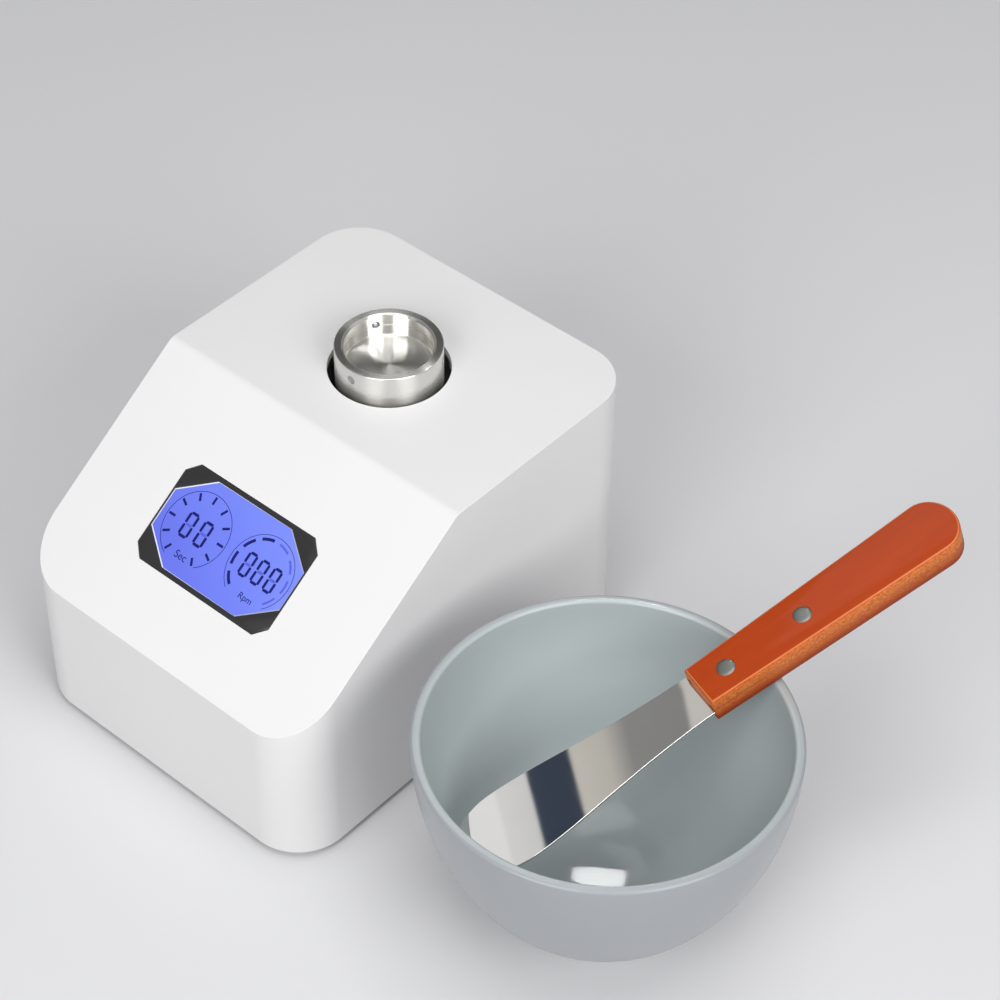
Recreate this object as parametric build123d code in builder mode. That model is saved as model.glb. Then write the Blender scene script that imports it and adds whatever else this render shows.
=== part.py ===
from build123d import *
import os
from math import asin, atan2, cos, degrees, radians, sin, sqrt

# Dental impression mixer: the machine, its mixing bowl and its spatula.
# All sizes are in millimetres. Every piece is drawn from the middle of the
# machine's footprint: X to the machine's right, Y to its back, Z up from the
# table. The last lines move the whole set so that the origin lies at the
# middle of the set's own footprint.

# ---- clearances ----
slip_gap = 0.3            # between pieces that move past each other
seat_gap = 0.15           # between a piece and the opening that holds it
press_gap = 0.02          # round a bearing or pin in its seat

# ---- housing ----
housing_width = 140.0
housing_depth = 180.5
housing_height = 115.5    # open bottom edge to top face
front_height = 59.0       # vertical front wall
slope_run = 82.5          # level distance that the sloping face covers
corner_radius = 20.5      # upright corners
crease_radius = 5.0       # between the sloping face and the top
edge_radius = 1.8         # round the top and the sloping face
wall = 3.0
stand_off = 3.0           # table to the housing's bottom edge
boss_radius = 5.0
boss_height = 14.0
boss_root = 0.8           # how far a boss sinks into the corner's wall
vent_count = 7
vent_pitch = 6.0
vent_width = 2.6
vent_height = 26.0
vent_middle_z = 84.0
boss_floor = 2.0          # closed end of a boss above its screw hole

# ---- display ----
display_up_slope = 47.1   # slope's lower edge to the display's middle
display_width = 65.6
display_height = 40.2
display_corner = 4.7
frame_side = 0.8          # frame showing beside the lit panel
frame_edge = 1.9          # frame showing above and below it
lit_corner_x = 13.8
lit_corner_y = 10.4
glass_thickness = 2.4
glass_recess = 0.25
display_flange = 4.0      # how far the frame's rim reaches behind the wall
flange_thickness = 1.6
board_thickness = 1.6
display_head_radius = 2.2
display_head_height = 1.4
display_screw_radius = 1.2
display_screw_bite = 2.0  # how far a display screw goes into the wall

# ---- base ----
plate_thickness = 2.0
foot_radius = 9.0         # where it meets the table
foot_taper = 8.0          # degrees that its side leans out towards the plate
foot_recess = 26.0        # foot centre from the housing's outer sides
screw_radius = 2.0
screw_head_radius = 3.8
screw_head_height = 2.2
lug_width = 12.0
lug_height = 18.0
base_vent_length = 40.0
base_vent_width = 3.6
base_vent_pitch = 8.0
base_vent_y = -2.0
screw_grip = 6.0          # thread length of a screw in a pillar

# ---- drive ----
spindle_y = 33.4          # spindle axis behind the housing's middle
motor_y = -22.0           # motor axis
hole_radius = 22.6        # opening in the top round the chuck
deck_level = 26.0
deck_thickness = 4.0
deck_half_width = 34.0
deck_margin = 3.0         # deck's front edge ahead of the motor
deck_gap = 0.25           # deck's back edge to the mains inlet
pillar_radius = 4.0
pillar_inset = 6.0
shaft_clearance = 3.0     # deck's hole round the motor's shaft
pulley_level = 9.0
pulley_width = 11.0
spindle_pulley_radius = 30.0
motor_pulley_radius = 10.0
groove_pitch = 2.34
groove_depth = 1.5
groove_count = 3
belt_backing = 1.2
pulley_rim = 5.0
pulley_web = 4.0
pulley_web_hole = 4.0
pulley_hub_radius = 11.0
pulley_hub_rise = 5.0
motor_hub_radius = 7.0
motor_hub_rise = 3.0
grub_radius = 2.0
grub_inset = 0.8          # how far a grub screw lies below its hub's side

# ---- spindle and bearings ----
spindle_radius = 6.0
spindle_shoulder_radius = 8.0
spindle_bottom = 7.0
bearing_radius = 14.0
bearing_width = 8.0
bearing_land = 2.4        # thickness of a bearing's rings
lower_bearing_level = 36.0
upper_bearing_level = 76.0
cartridge_radius = 19.0
cartridge_flange_radius = 29.0
cartridge_screw_circle = 24.5
shield_recess = 0.4
shield_thickness = 0.6
cartridge_flange = 6.0
cartridge_lip = 3.0
circlip_width = 1.2
circlip_reach = 2.2
circlip_mouth = 6.0

# ---- chuck ----
chuck_radius = 19.8
chuck_bore_radius = 16.3
chuck_rise = 10.7         # rim above the housing's top
chuck_depth = 9.3
chuck_skirt = 16.5        # height of the cup's outer wall
chuck_floor = 3.6
chuck_chamfer = 0.8
chuck_hub_radius = 12.0
chuck_hub_height = 16.0
plunger_drop = 4.4        # rim to the plungers' axis
plunger_radius = 1.65
plunger_ball_radius = 1.2
plunger_nose = 0.2        # how far a ball stands into the bore
plunger_travel = 0.5
plunger_turn = 30.0       # angle of the first plunger from +X

# ---- motor ----
motor_radius = 25.0
motor_height = 46.0
motor_shell = 2.0
motor_shaft_radius = 3.0
magnet_thickness = 4.0
rotor_gap = 1.0
rotor_height = 30.0
rotor_slots = 7
motor_end = 3.0
motor_screw_circle = 16.0
motor_screw_radius = 1.5

# ---- side controls ----
control_z = 42.0
speed_knob_y = 26.0
time_knob_y = -6.0
button_y = -36.0
knob_radius = 11.0
knob_height = 14.0
knob_flutes = 18
flute_radius = 0.9
pointer_width = 1.2
pointer_depth = 0.6
bush_rise = 2.0           # how far a control's bush stands out of the wall
pot_shaft_radius = 3.0
pot_radius = 8.0
pot_depth = 9.0
bush_radius = 4.0
button_radius = 6.0
button_proud = 2.5
button_travel = 1.5
button_spare = 2.5        # room left behind the pressed button
button_bezel_radius = 8.5
button_bezel_rise = 1.5
button_barrel_radius = 7.0
button_barrel_depth = 8.0
button_nut_radius = 10.0
button_nut_thickness = 2.5

# ---- rear: mains inlet and switch ----
inlet_x = 34.0
rear_z = 40.0
inlet_flange_width = 31.0
inlet_flange_height = 24.0
inlet_width = 27.0
inlet_height = 19.6
inlet_socket_width = 24.0
inlet_socket_height = 16.5
inlet_depth = 20.0
inlet_socket_depth = 16.0
rear_flange = 2.0
pin_length = 11.0
pin_width = 2.0
pin_height = 4.0
pin_pitch = 7.0
pin_drop = 2.0            # outer pins below the inlet's middle, earth pin above it
pin_tail = 6.0
switch_x = 0.0
switch_width = 13.0
switch_height = 19.4
switch_rim = 2.0
switch_depth = 16.0
rocker_swing = 16.0       # degrees between off and on
rocker_wall = 1.2
rocker_drop = 3.6         # depth of the rocker's round back
terminal_pitch = 9.0
terminal_width = 6.0
terminal_thickness = 0.8
terminal_length = 8.0

# ---- boards ----
board_x = 38.0            # inner face of each side board from the middle
board_gap = 2.25          # boards' back edge to the mains inlet's pins
board_front = -40.0
board_low = 9.0
board_height = 62.0
board_hole_radius = 1.6
board_hole_inset = 3.0    # hole centres from the board's edges
transformer_width = 32.0
transformer_height = 27.0
transformer_depth = 20.0
bobbin_width = 25.0
bobbin_height = 15.0
core_limb = 5.0
bobbin_inset = 2.0
transformer_along = 22.0  # from the board's middle towards the back
transformer_up = 20.0     # from the board's lower edge
capacitor_radius = 8.0
capacitor_height = 21.0
small_capacitor_radius = 6.0
small_capacitor_height = 18.0
capacitor_along = -10.0
capacitor_gap = 4.0
heatsink_width = 44.0
heatsink_depth = 18.0
heatsink_along = -12.0
heatsink_web = 4.0
heatsink_fins = 6
fin_thickness = 1.6
processor_size = 12.0
processor_height = 1.6
processor_along = -8.0
processor_up = 35.0
relay_width = 19.0
relay_height = 15.0
relay_depth = 10.0
relay_along = 24.0
relay_up = 19.0
header_depth = 8.0
header_height = 6.0
header_along = -34.0
header_up = 10.0
ribbon_socket_width = 22.0
ribbon_socket_depth = 4.0
ribbon_along = 6.0
ribbon_up = 56.0

# ---- bowl ----
bowl_x = 156.4
bowl_y = -30.0
bowl_radius = 65.3
bowl_height = 80.3
bowl_foot_radius = 8.0    # flat middle of the outer curve
bowl_low_arc = 47.0       # radius of the lower part of the outer curve
bowl_inner_arc = 44.5     # radius of the lower part of the inner curve
bowl_wall = 3.6
bowl_bottom = 7.0
bowl_boss_radius = 18.0
bowl_boss_height = 1.6
stub_length = 9.0
stub_clearance = 0.275    # between the stub and the chuck's bore
stub_chamfer = 1.0
stub_groove = 1.0
stub_groove_depth = 0.5
stub_screw_radius = 2.5
stub_head_radius = 4.6
stub_head_recess = 3.2
stub_head_inset = 0.5     # head's face above the table
stub_socket_depth = 2.0
insert_radius = 4.5
insert_length = 4.5
rim_rounding = 1.1

# ---- spatula ----
handle_length = 106.0
handle_near_width = 17.4
handle_far_width = 22.6
handle_end_length = 10.0
scale_thickness = 5.6
handle_edge = 1.1
blade_thickness = 1.0
blade_length = 98.0
blade_neck_width = 18.2
blade_wide = 30.0
blade_neck_length = 16.0
blade_tip_length = 21.0
tang_length = 62.0
tang_width = 11.0
rivet_radius = 3.3
rivet_places = (11.5, 43.0)
handle_turn = 71.4        # direction the handle points, from +X
handle_rise = 18.6        # degrees above level
handle_shift = 1.3        # sideways, from the bowl's middle
tip_gap = 0.4             # blade's tip to the bowl's inner wall

# ---- levels and planes worked out from the sizes above ----
housing_bottom = stand_off
housing_top = housing_bottom + housing_height
plate_top = housing_bottom + plate_thickness
deck_top = deck_level + deck_thickness
chuck_rim = housing_top + chuck_rise
chuck_floor_level = chuck_rim - chuck_depth
hub_bottom = chuck_rim - chuck_skirt - chuck_hub_height
spindle_top = chuck_floor_level - chuck_floor
slope_angle = atan2(housing_height - front_height, slope_run)
back_face = housing_depth / 2
side_face = housing_width / 2
inner_corner_radius = corner_radius - wall
slope_plane = Plane(
    origin=(0, -housing_depth / 2, housing_bottom + front_height),
    x_dir=(1, 0, 0),
    z_dir=(0, -sin(slope_angle), cos(slope_angle)),
)
display_plane = slope_plane.shift_origin(slope_plane.from_local_coords((0, display_up_slope, 0)))
frame_back = wall + flange_thickness
lit_width = display_width - 2 * frame_side
lit_height = display_height - 2 * frame_edge
frame_width = display_width + 2 * display_flange
frame_height = display_height + 2 * display_flange
screw_corner = display_flange * 0.7
rear_plane = Plane(origin=(0, back_face, 0), x_dir=(-1, 0, 0), z_dir=(0, 1, 0))
spindle_section = Plane(origin=(0, spindle_y, 0), x_dir=(1, 0, 0), z_dir=(0, -1, 0))
motor_section = Plane(origin=(0, motor_y, 0), x_dir=(1, 0, 0), z_dir=(0, -1, 0))
spindle_line = Axis((0, spindle_y, 0), (0, 0, 1))
motor_line = Axis((0, motor_y, 0), (0, 0, 1))
deck_front = motor_y - motor_radius - deck_margin
deck_back = back_face - inlet_depth - deck_gap
board_back = back_face - inlet_depth - pin_tail - board_gap
left_plane = Plane(origin=(-side_face, 0, 0), x_dir=(0, -1, 0), z_dir=(-1, 0, 0))
boss_inset = corner_radius - (inner_corner_radius - boss_radius + boss_root) / sqrt(2)
corners = [(x, y) for x in (-1, 1) for y in (-1, 1)]
display_screw_places = [
    (x * (frame_width / 2 - screw_corner), y * (frame_height / 2 - screw_corner)) for x, y in corners]
boss_places = [(x * (side_face - boss_inset), y * (back_face - boss_inset)) for x, y in corners]
foot_places = [(x * (side_face - foot_recess), y * (back_face - foot_recess)) for x, y in corners]
pillar_places = [
    (x * (deck_half_width - pillar_inset), y)
    for x in (-1, 1)
    for y in (deck_front + pillar_inset, deck_back - pillar_inset)
]

pieces = {}


def radial_plane(turn, level):
    """Plane through the spindle's axis at level, facing outwards at an angle from +X."""
    return Plane(origin=(0, spindle_y, level), z_dir=(cos(radians(turn)), sin(radians(turn)), 0))


def plunger_plane(number):
    return radial_plane(plunger_turn + 120 * number, chuck_rim - plunger_drop)


def octagon(width, height, cut_x, cut_y, mode=Mode.ADD):
    """A rectangle with its four corners cut off, drawn in the current sketch."""
    right = width / 2
    top = height / 2
    Polygon(
        (right, top - cut_y),
        (right - cut_x, top),
        (cut_x - right, top),
        (-right, top - cut_y),
        (-right, cut_y - top),
        (cut_x - right, -top),
        (right - cut_x, -top),
        (right, cut_y - top),
        align=None,
        mode=mode,
    )


def wedge_body(inset, bottom):
    """The housing's form drawn in all round by inset, with its underside at bottom."""
    with BuildPart() as body:
        with BuildSketch(Plane.YZ) as side:
            with BuildLine():
                Polyline(
                    (-back_face, bottom - inset),
                    (back_face, bottom - inset),
                    (back_face, housing_top),
                    (slope_run - back_face, housing_top),
                    (-back_face, housing_bottom + front_height),
                    close=True,
                )
            make_face()
            crease = side.vertices().sort_by_distance((slope_run - back_face, housing_top))[0]
            fillet(crease, radius=crease_radius)
            if inset > 0:
                offset(amount=-inset)
        extrude(amount=side_face, both=True)
        with BuildSketch(Plane.XY.offset(bottom)):
            RectangleRounded(housing_width - 2 * inset, housing_depth - 2 * inset, corner_radius - inset)
        extrude(amount=2 * housing_height, mode=Mode.INTERSECT)
    return body.part


def screw(plane, places, radius, length, head_radius, head_height):
    """Pan-head screws pointing along the plane's normal, heads on the plane."""
    with BuildPart() as screws:
        with BuildSketch(plane):
            with Locations(*places):
                Circle(radius)
        extrude(amount=length)
        with BuildSketch(plane):
            with Locations(*places):
                Circle(head_radius)
        extrude(amount=-head_height)
        heads = screws.faces().filter_by(Axis(plane.origin, plane.z_dir)).sort_by(
            Axis(plane.origin, plane.z_dir))[: len(places)]
        chamfer(heads.edges(), length=head_height / 4)
    return screws


# ================= housing =================
cavity = wedge_body(wall, housing_bottom - wall)

with BuildPart() as housing:
    add(wedge_body(0, housing_bottom))
    rim = [
        edge for edge in housing.edges()
        if edge.bounding_box().min.Z > housing_bottom + 1
        and abs(edge.tangent_at(0.5).Z) < 0.98
        and not (abs(edge.tangent_at(0.5).X) > 0.999
                 and abs(edge.center().Y - (slope_run - back_face)) < 2 * crease_radius)
    ]
    fillet(rim, radius=edge_radius)
    add(cavity, mode=Mode.SUBTRACT)
    # corner bosses that take the base screws
    with BuildSketch(Plane.XY.offset(plate_top)):
        with Locations(*boss_places):
            Circle(boss_radius)
    extrude(amount=boss_height)
    with BuildSketch(Plane.XY.offset(plate_top)):
        with Locations(*boss_places):
            Circle(screw_radius)
    extrude(amount=boss_height - boss_floor, mode=Mode.SUBTRACT)
    # opening round the chuck
    with BuildSketch(Plane.XY.offset(housing_top)):
        with Locations((0, spindle_y)):
            Circle(hole_radius)
    extrude(amount=-2 * wall, mode=Mode.SUBTRACT)
    # opening for the display
    with BuildSketch(display_plane):
        octagon(display_width, display_height, display_corner, display_corner)
    extrude(amount=-2 * wall, mode=Mode.SUBTRACT)
    with BuildSketch(display_plane.offset(-wall)):
        with Locations(*display_screw_places):
            Circle(display_screw_radius)
    extrude(amount=display_screw_bite, mode=Mode.SUBTRACT)
    # rear openings: mains inlet, switch and vents
    with BuildSketch(rear_plane):
        with Locations((-inlet_x, rear_z)):
            RectangleRounded(inlet_width, inlet_height, 2)
        with Locations((-switch_x, rear_z)):
            Rectangle(switch_width, switch_height)
        with Locations((0, vent_middle_z)):
            with GridLocations(vent_pitch, 1, vent_count, 1):
                SlotOverall(vent_height, vent_width, rotation=90)
    extrude(amount=-2 * wall, mode=Mode.SUBTRACT)
    # left side openings: two control bushes and the start button
    with BuildSketch(left_plane):
        with Locations((-speed_knob_y, control_z), (-time_knob_y, control_z)):
            Circle(bush_radius + seat_gap)
        with Locations((-button_y, control_z)):
            Circle(button_barrel_radius)
    extrude(amount=-2 * wall, mode=Mode.SUBTRACT)
pieces["housing"] = housing

# ================= base plate, feet =================
plate_inset = wall + seat_gap
lug_places = [
    (side * (board_x - plate_thickness / 2), y)
    for side in (-1, 1)
    for y in (board_front + lug_width, board_back - lug_width)
]
with BuildPart() as base_plate:
    with BuildSketch(Plane.XY.offset(housing_bottom)):
        RectangleRounded(
            housing_width - 2 * plate_inset, housing_depth - 2 * plate_inset, corner_radius - plate_inset)
        with Locations(*boss_places):
            Circle(screw_radius + seat_gap, mode=Mode.SUBTRACT)
        with Locations(*foot_places, *pillar_places):
            Circle(screw_radius + seat_gap, mode=Mode.SUBTRACT)
        with Locations((0, base_vent_y)):
            with GridLocations(base_vent_pitch, 1, vent_count, 1):
                SlotOverall(base_vent_length, base_vent_width, rotation=90, mode=Mode.SUBTRACT)
    extrude(amount=plate_thickness)
    # upturned lugs that carry the two side boards
    with BuildSketch(Plane.XY.offset(housing_bottom)):
        with Locations(*lug_places):
            Rectangle(plate_thickness, lug_width)
    extrude(amount=lug_height)
pieces["base_plate"] = base_plate

foot_screw_seat = housing_bottom / 2
with BuildPart() as rubber_feet:
    with BuildSketch():
        with Locations(*foot_places):
            Circle(foot_radius)
    extrude(amount=housing_bottom, taper=-foot_taper)
    with BuildSketch():
        with Locations(*foot_places):
            Circle(screw_head_radius + seat_gap)
    extrude(amount=foot_screw_seat, mode=Mode.SUBTRACT)
    with BuildSketch():
        with Locations(*foot_places):
            Circle(screw_radius + seat_gap)
    extrude(amount=housing_bottom, mode=Mode.SUBTRACT)
pieces["rubber_feet"] = rubber_feet

pieces["foot_screws"] = screw(
    Plane.XY.offset(foot_screw_seat), foot_places, screw_radius,
    plate_top + screw_grip - foot_screw_seat, screw_head_radius, foot_screw_seat - slip_gap)
pieces["base_screws"] = screw(
    Plane.XY.offset(housing_bottom), boss_places, screw_radius - press_gap,
    plate_thickness + boss_height - boss_floor - screw_radius / 2, screw_head_radius, screw_head_height)

# ================= drive deck =================
spindle_screws = [
    (cartridge_screw_circle * x * sqrt(0.5), spindle_y + cartridge_screw_circle * y * sqrt(0.5))
    for x, y in corners
]
motor_screw_places = [(motor_screw_circle * x, motor_y) for x in (-1, 1)]


def facing_down(level):
    """Level plane that looks down, with its X along the machine's X."""
    return Plane(origin=(0, 0, level), x_dir=(1, 0, 0), z_dir=(0, 0, -1))


def seen_from_below(places):
    return [(x, -y) for x, y in places]


with BuildPart() as deck_plate:
    with BuildSketch(Plane.XY.offset(deck_level)):
        with Locations((0, (deck_front + deck_back) / 2)):
            RectangleRounded(2 * deck_half_width, deck_back - deck_front, pillar_inset)
        with Locations((0, spindle_y)):
            Circle(bearing_radius + slip_gap, mode=Mode.SUBTRACT)
        with Locations((0, motor_y)):
            Circle(motor_shaft_radius + shaft_clearance, mode=Mode.SUBTRACT)
        with Locations(*pillar_places, *spindle_screws, *motor_screw_places):
            Circle(screw_radius, mode=Mode.SUBTRACT)
    extrude(amount=deck_thickness)
pieces["deck_plate"] = deck_plate

with BuildPart() as deck_pillars:
    with BuildSketch(Plane.XY.offset(plate_top)):
        with Locations(*pillar_places):
            RegularPolygon(pillar_radius, 6)
            Circle(screw_radius, mode=Mode.SUBTRACT)
    extrude(amount=deck_level - plate_top)
pieces["deck_pillars"] = deck_pillars

pillar_head_radius = pillar_radius - slip_gap
with BuildPart() as deck_screws:
    add(screw(Plane.XY.offset(housing_bottom), pillar_places, screw_radius - press_gap,
              plate_thickness + screw_grip, pillar_head_radius, screw_head_height).part)
    add(screw(facing_down(deck_top), seen_from_below(pillar_places), screw_radius - press_gap,
              deck_thickness + screw_grip, pillar_head_radius, screw_head_height).part)
pieces["deck_screws"] = deck_screws

# ================= bearing cartridge =================
cartridge_top = upper_bearing_level + bearing_width + cartridge_lip
shoulder_bottom = lower_bearing_level + bearing_width
bearing_bore = bearing_radius + press_gap

with BuildPart() as bearing_cartridge:
    with BuildSketch(spindle_section) as profile:
        Polygon(
            (bearing_bore, deck_top),
            (cartridge_flange_radius, deck_top),
            (cartridge_flange_radius, deck_top + cartridge_flange),
            (cartridge_radius, deck_top + cartridge_flange),
            (cartridge_radius, cartridge_top),
            (bearing_bore, cartridge_top),
            (bearing_bore, upper_bearing_level),
            (bearing_radius - bearing_land, upper_bearing_level),
            (bearing_radius - bearing_land, shoulder_bottom),
            (bearing_bore, shoulder_bottom),
            align=None,
        )
    revolve(axis=spindle_line)
    with BuildSketch(Plane.XY.offset(deck_top)):
        with Locations(*spindle_screws):
            Circle(screw_radius)
    extrude(amount=cartridge_flange, mode=Mode.SUBTRACT)
    outer_rims = bearing_cartridge.edges().filter_by(GeomType.CIRCLE).filter_by(
        lambda edge: abs(edge.radius - cartridge_radius) < 0.01)
    chamfer(outer_rims.sort_by(Axis.Z)[-1], length=1)
pieces["bearing_cartridge"] = bearing_cartridge

pieces["cartridge_screws"] = screw(
    facing_down(deck_top + cartridge_flange), seen_from_below(spindle_screws), screw_radius - press_gap,
    cartridge_flange + deck_thickness - slip_gap, screw_head_radius, screw_head_height)

ring_outer = bearing_radius - bearing_land
ring_inner = spindle_radius + bearing_land
bearing_levels = (lower_bearing_level, upper_bearing_level)

with BuildPart() as bearing_outer_rings:
    for level in bearing_levels:
        with BuildSketch(Plane.XY.offset(level)):
            with Locations((0, spindle_y)):
                Circle(bearing_radius)
                Circle(ring_outer, mode=Mode.SUBTRACT)
        extrude(amount=bearing_width)
        # thin shields that close the ring on both faces
        for shield_level in (level + shield_recess, level + bearing_width - shield_recess - shield_thickness):
            with BuildSketch(Plane.XY.offset(shield_level)):
                with Locations((0, spindle_y)):
                    Circle(ring_outer)
                    Circle(ring_inner + slip_gap, mode=Mode.SUBTRACT)
            extrude(amount=shield_thickness)
pieces["bearing_outer_rings"] = bearing_outer_rings

with BuildPart() as bearing_inner_rings:
    for level in bearing_levels:
        with BuildSketch(Plane.XY.offset(level)):
            with Locations((0, spindle_y)):
                Circle(ring_inner)
                Circle(spindle_radius, mode=Mode.SUBTRACT)
        extrude(amount=bearing_width)
pieces["bearing_inner_rings"] = bearing_inner_rings

# ================= spindle =================
clip_groove_radius = spindle_radius - 0.5
spindle_point = 0.8       # chamfer at its lower end
with BuildPart() as spindle:
    with BuildSketch(spindle_section):
        Polygon(
            (0, spindle_bottom),
            (spindle_radius - spindle_point, spindle_bottom),
            (spindle_radius, spindle_bottom + spindle_point),
            (spindle_radius, lower_bearing_level - circlip_width),
            (clip_groove_radius, lower_bearing_level - circlip_width),
            (clip_groove_radius, lower_bearing_level),
            (spindle_radius, lower_bearing_level),
            (spindle_radius, shoulder_bottom),
            (spindle_shoulder_radius, shoulder_bottom),
            (spindle_shoulder_radius, upper_bearing_level),
            (spindle_radius, upper_bearing_level),
            (spindle_radius, spindle_top),
            (0, spindle_top),
            align=None,
        )
    revolve(axis=spindle_line)
pieces["spindle"] = spindle

with BuildPart() as spindle_circlip:
    with BuildSketch(Plane.XY.offset(lower_bearing_level - circlip_width)):
        with Locations((0, spindle_y)):
            Circle(spindle_radius + circlip_reach)
            Circle(clip_groove_radius, mode=Mode.SUBTRACT)
        with Locations((0, spindle_y - spindle_radius - circlip_width)):
            Rectangle(spindle_radius, circlip_mouth, mode=Mode.SUBTRACT)
    extrude(amount=circlip_width)
pieces["spindle_circlip"] = spindle_circlip


# ================= pulleys and ribbed belt =================
def rib_line(radius, level):
    """Points of a ribbed rim from its lower to its upper edge, as radius and height."""
    start = level + (pulley_width - groove_count * groove_pitch) / 2
    points = [(radius, level)]
    for groove in range(groove_count):
        points.append((radius, start + (groove + 0.08) * groove_pitch))
        points.append((radius - groove_depth, start + (groove + 0.5) * groove_pitch))
        points.append((radius, start + (groove + 0.92) * groove_pitch))
    points.append((radius, level + pulley_width))
    return points


pulley_top = pulley_level + pulley_width
with BuildPart() as spindle_pulley:
    with BuildSketch(spindle_section):
        Polygon((spindle_radius, pulley_level), *rib_line(spindle_pulley_radius, pulley_level),
                (spindle_radius, pulley_top), align=None)
    revolve(axis=spindle_line)
    for face_level, direction in ((pulley_top, -1), (pulley_level, 1)):
        with BuildSketch(Plane.XY.offset(face_level)):
            with Locations((0, spindle_y)):
                Circle(spindle_pulley_radius - pulley_rim)
                Circle(pulley_hub_radius, mode=Mode.SUBTRACT)
        extrude(amount=direction * (pulley_width - pulley_web) / 2, mode=Mode.SUBTRACT)
    with BuildSketch(Plane.XY.offset(pulley_top)):
        with Locations((0, spindle_y)):
            Circle(pulley_hub_radius)
            Circle(spindle_radius, mode=Mode.SUBTRACT)
    extrude(amount=pulley_hub_rise)
    # holes that lighten the web
    with BuildSketch(Plane.XY.offset(pulley_level)):
        with Locations((0, spindle_y)):
            with PolarLocations((spindle_pulley_radius - pulley_rim + pulley_hub_radius) / 2, 6):
                Circle(pulley_web_hole)
    extrude(amount=pulley_width, mode=Mode.SUBTRACT)
    with BuildSketch(Plane(origin=(0, spindle_y, pulley_top + pulley_hub_rise / 2), z_dir=(1, 0, 0))):
        Circle(grub_radius)
    extrude(amount=pulley_hub_radius + 1, mode=Mode.SUBTRACT)
pieces["spindle_pulley"] = spindle_pulley

with BuildPart() as motor_pulley:
    with BuildSketch(motor_section):
        Polygon((motor_shaft_radius, pulley_level), *rib_line(motor_pulley_radius, pulley_level),
                (motor_shaft_radius, pulley_top), align=None)
    revolve(axis=motor_line)
    with BuildSketch(Plane.XY.offset(pulley_top)):
        with Locations((0, motor_y)):
            Circle(motor_hub_radius)
            Circle(motor_shaft_radius, mode=Mode.SUBTRACT)
    extrude(amount=motor_hub_rise)
pieces["motor_pulley"] = motor_pulley

belt_lean = asin((spindle_pulley_radius - motor_pulley_radius) / (spindle_y - motor_y))
belt_middle = pulley_level + pulley_width / 2
belt_half = groove_count * groove_pitch / 2


def belt_point(centre_y, radius, side):
    """Point where the belt's straight run meets a pulley, on one side."""
    return (side * radius * cos(belt_lean), centre_y - radius * sin(belt_lean), belt_middle)


belt_spindle_radius = spindle_pulley_radius + slip_gap
belt_motor_radius = motor_pulley_radius + slip_gap
with BuildPart() as drive_belt:
    with BuildLine() as belt_path:
        ThreePointArc(
            belt_point(spindle_y, belt_spindle_radius, 1),
            (0, spindle_y + belt_spindle_radius, belt_middle),
            belt_point(spindle_y, belt_spindle_radius, -1))
        Line(belt_point(spindle_y, belt_spindle_radius, -1), belt_point(motor_y, belt_motor_radius, -1))
        ThreePointArc(
            belt_point(motor_y, belt_motor_radius, -1),
            (0, motor_y - belt_motor_radius, belt_middle),
            belt_point(motor_y, belt_motor_radius, 1))
        Line(belt_point(motor_y, belt_motor_radius, 1), belt_point(spindle_y, belt_spindle_radius, 1))
    belt_section = Plane(
        origin=belt_point(spindle_y, belt_spindle_radius, 1),
        x_dir=(cos(belt_lean), -sin(belt_lean), 0),
        z_dir=(sin(belt_lean), cos(belt_lean), 0),
    )
    rib_root = slip_gap + 0.1
    ribs = []
    for rib in range(groove_count):
        ribs.append((0, -belt_half + (rib + 0.2) * groove_pitch))
        ribs.append((rib_root - groove_depth, -belt_half + (rib + 0.5) * groove_pitch))
        ribs.append((0, -belt_half + (rib + 0.8) * groove_pitch))
    with BuildSketch(belt_section):
        Polygon((0, -belt_half), *ribs, (0, belt_half), (belt_backing, belt_half), (belt_backing, -belt_half),
                align=None)
    sweep(path=belt_path.wires()[0])
pieces["drive_belt"] = drive_belt

# ================= chuck =================
chuck_grub_level = hub_bottom + chuck_hub_height / 2
pulley_grub_level = pulley_top + pulley_hub_rise / 2
grub_turns = (0, 90)

with BuildPart() as chuck_cup:
    with BuildSketch(spindle_section):
        Polygon(
            (0, chuck_floor_level),
            (chuck_bore_radius, chuck_floor_level),
            (chuck_bore_radius, chuck_rim - chuck_chamfer),
            (chuck_bore_radius + chuck_chamfer, chuck_rim),
            (chuck_radius - chuck_chamfer / 2, chuck_rim),
            (chuck_radius, chuck_rim - chuck_chamfer / 2),
            (chuck_radius, chuck_rim - chuck_skirt),
            (chuck_hub_radius, chuck_rim - chuck_skirt),
            (chuck_hub_radius, hub_bottom),
            (spindle_radius, hub_bottom),
            (spindle_radius, spindle_top),
            (0, spindle_top),
            align=None,
        )
    revolve(axis=spindle_line)
    for plunger in range(3):
        with BuildSketch(plunger_plane(plunger)):
            Circle(plunger_radius + press_gap)
        extrude(amount=chuck_radius + 1, mode=Mode.SUBTRACT)
    for turn in grub_turns:
        with BuildSketch(radial_plane(turn, chuck_grub_level)):
            Circle(grub_radius)
        extrude(amount=chuck_hub_radius + 1, mode=Mode.SUBTRACT)
pieces["chuck_cup"] = chuck_cup

with BuildPart() as grub_screws:
    for turn in grub_turns:
        with BuildSketch(radial_plane(turn, chuck_grub_level).offset(spindle_radius + press_gap)):
            Circle(grub_radius - press_gap)
            RegularPolygon(grub_radius / 2, 6, mode=Mode.SUBTRACT)
        extrude(amount=chuck_hub_radius - spindle_radius - grub_inset)
    with BuildSketch(radial_plane(0, pulley_grub_level).offset(spindle_radius + press_gap)):
        Circle(grub_radius - press_gap)
        RegularPolygon(grub_radius / 2, 6, mode=Mode.SUBTRACT)
    extrude(amount=pulley_hub_radius - spindle_radius - grub_inset)
pieces["grub_screws"] = grub_screws

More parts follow.
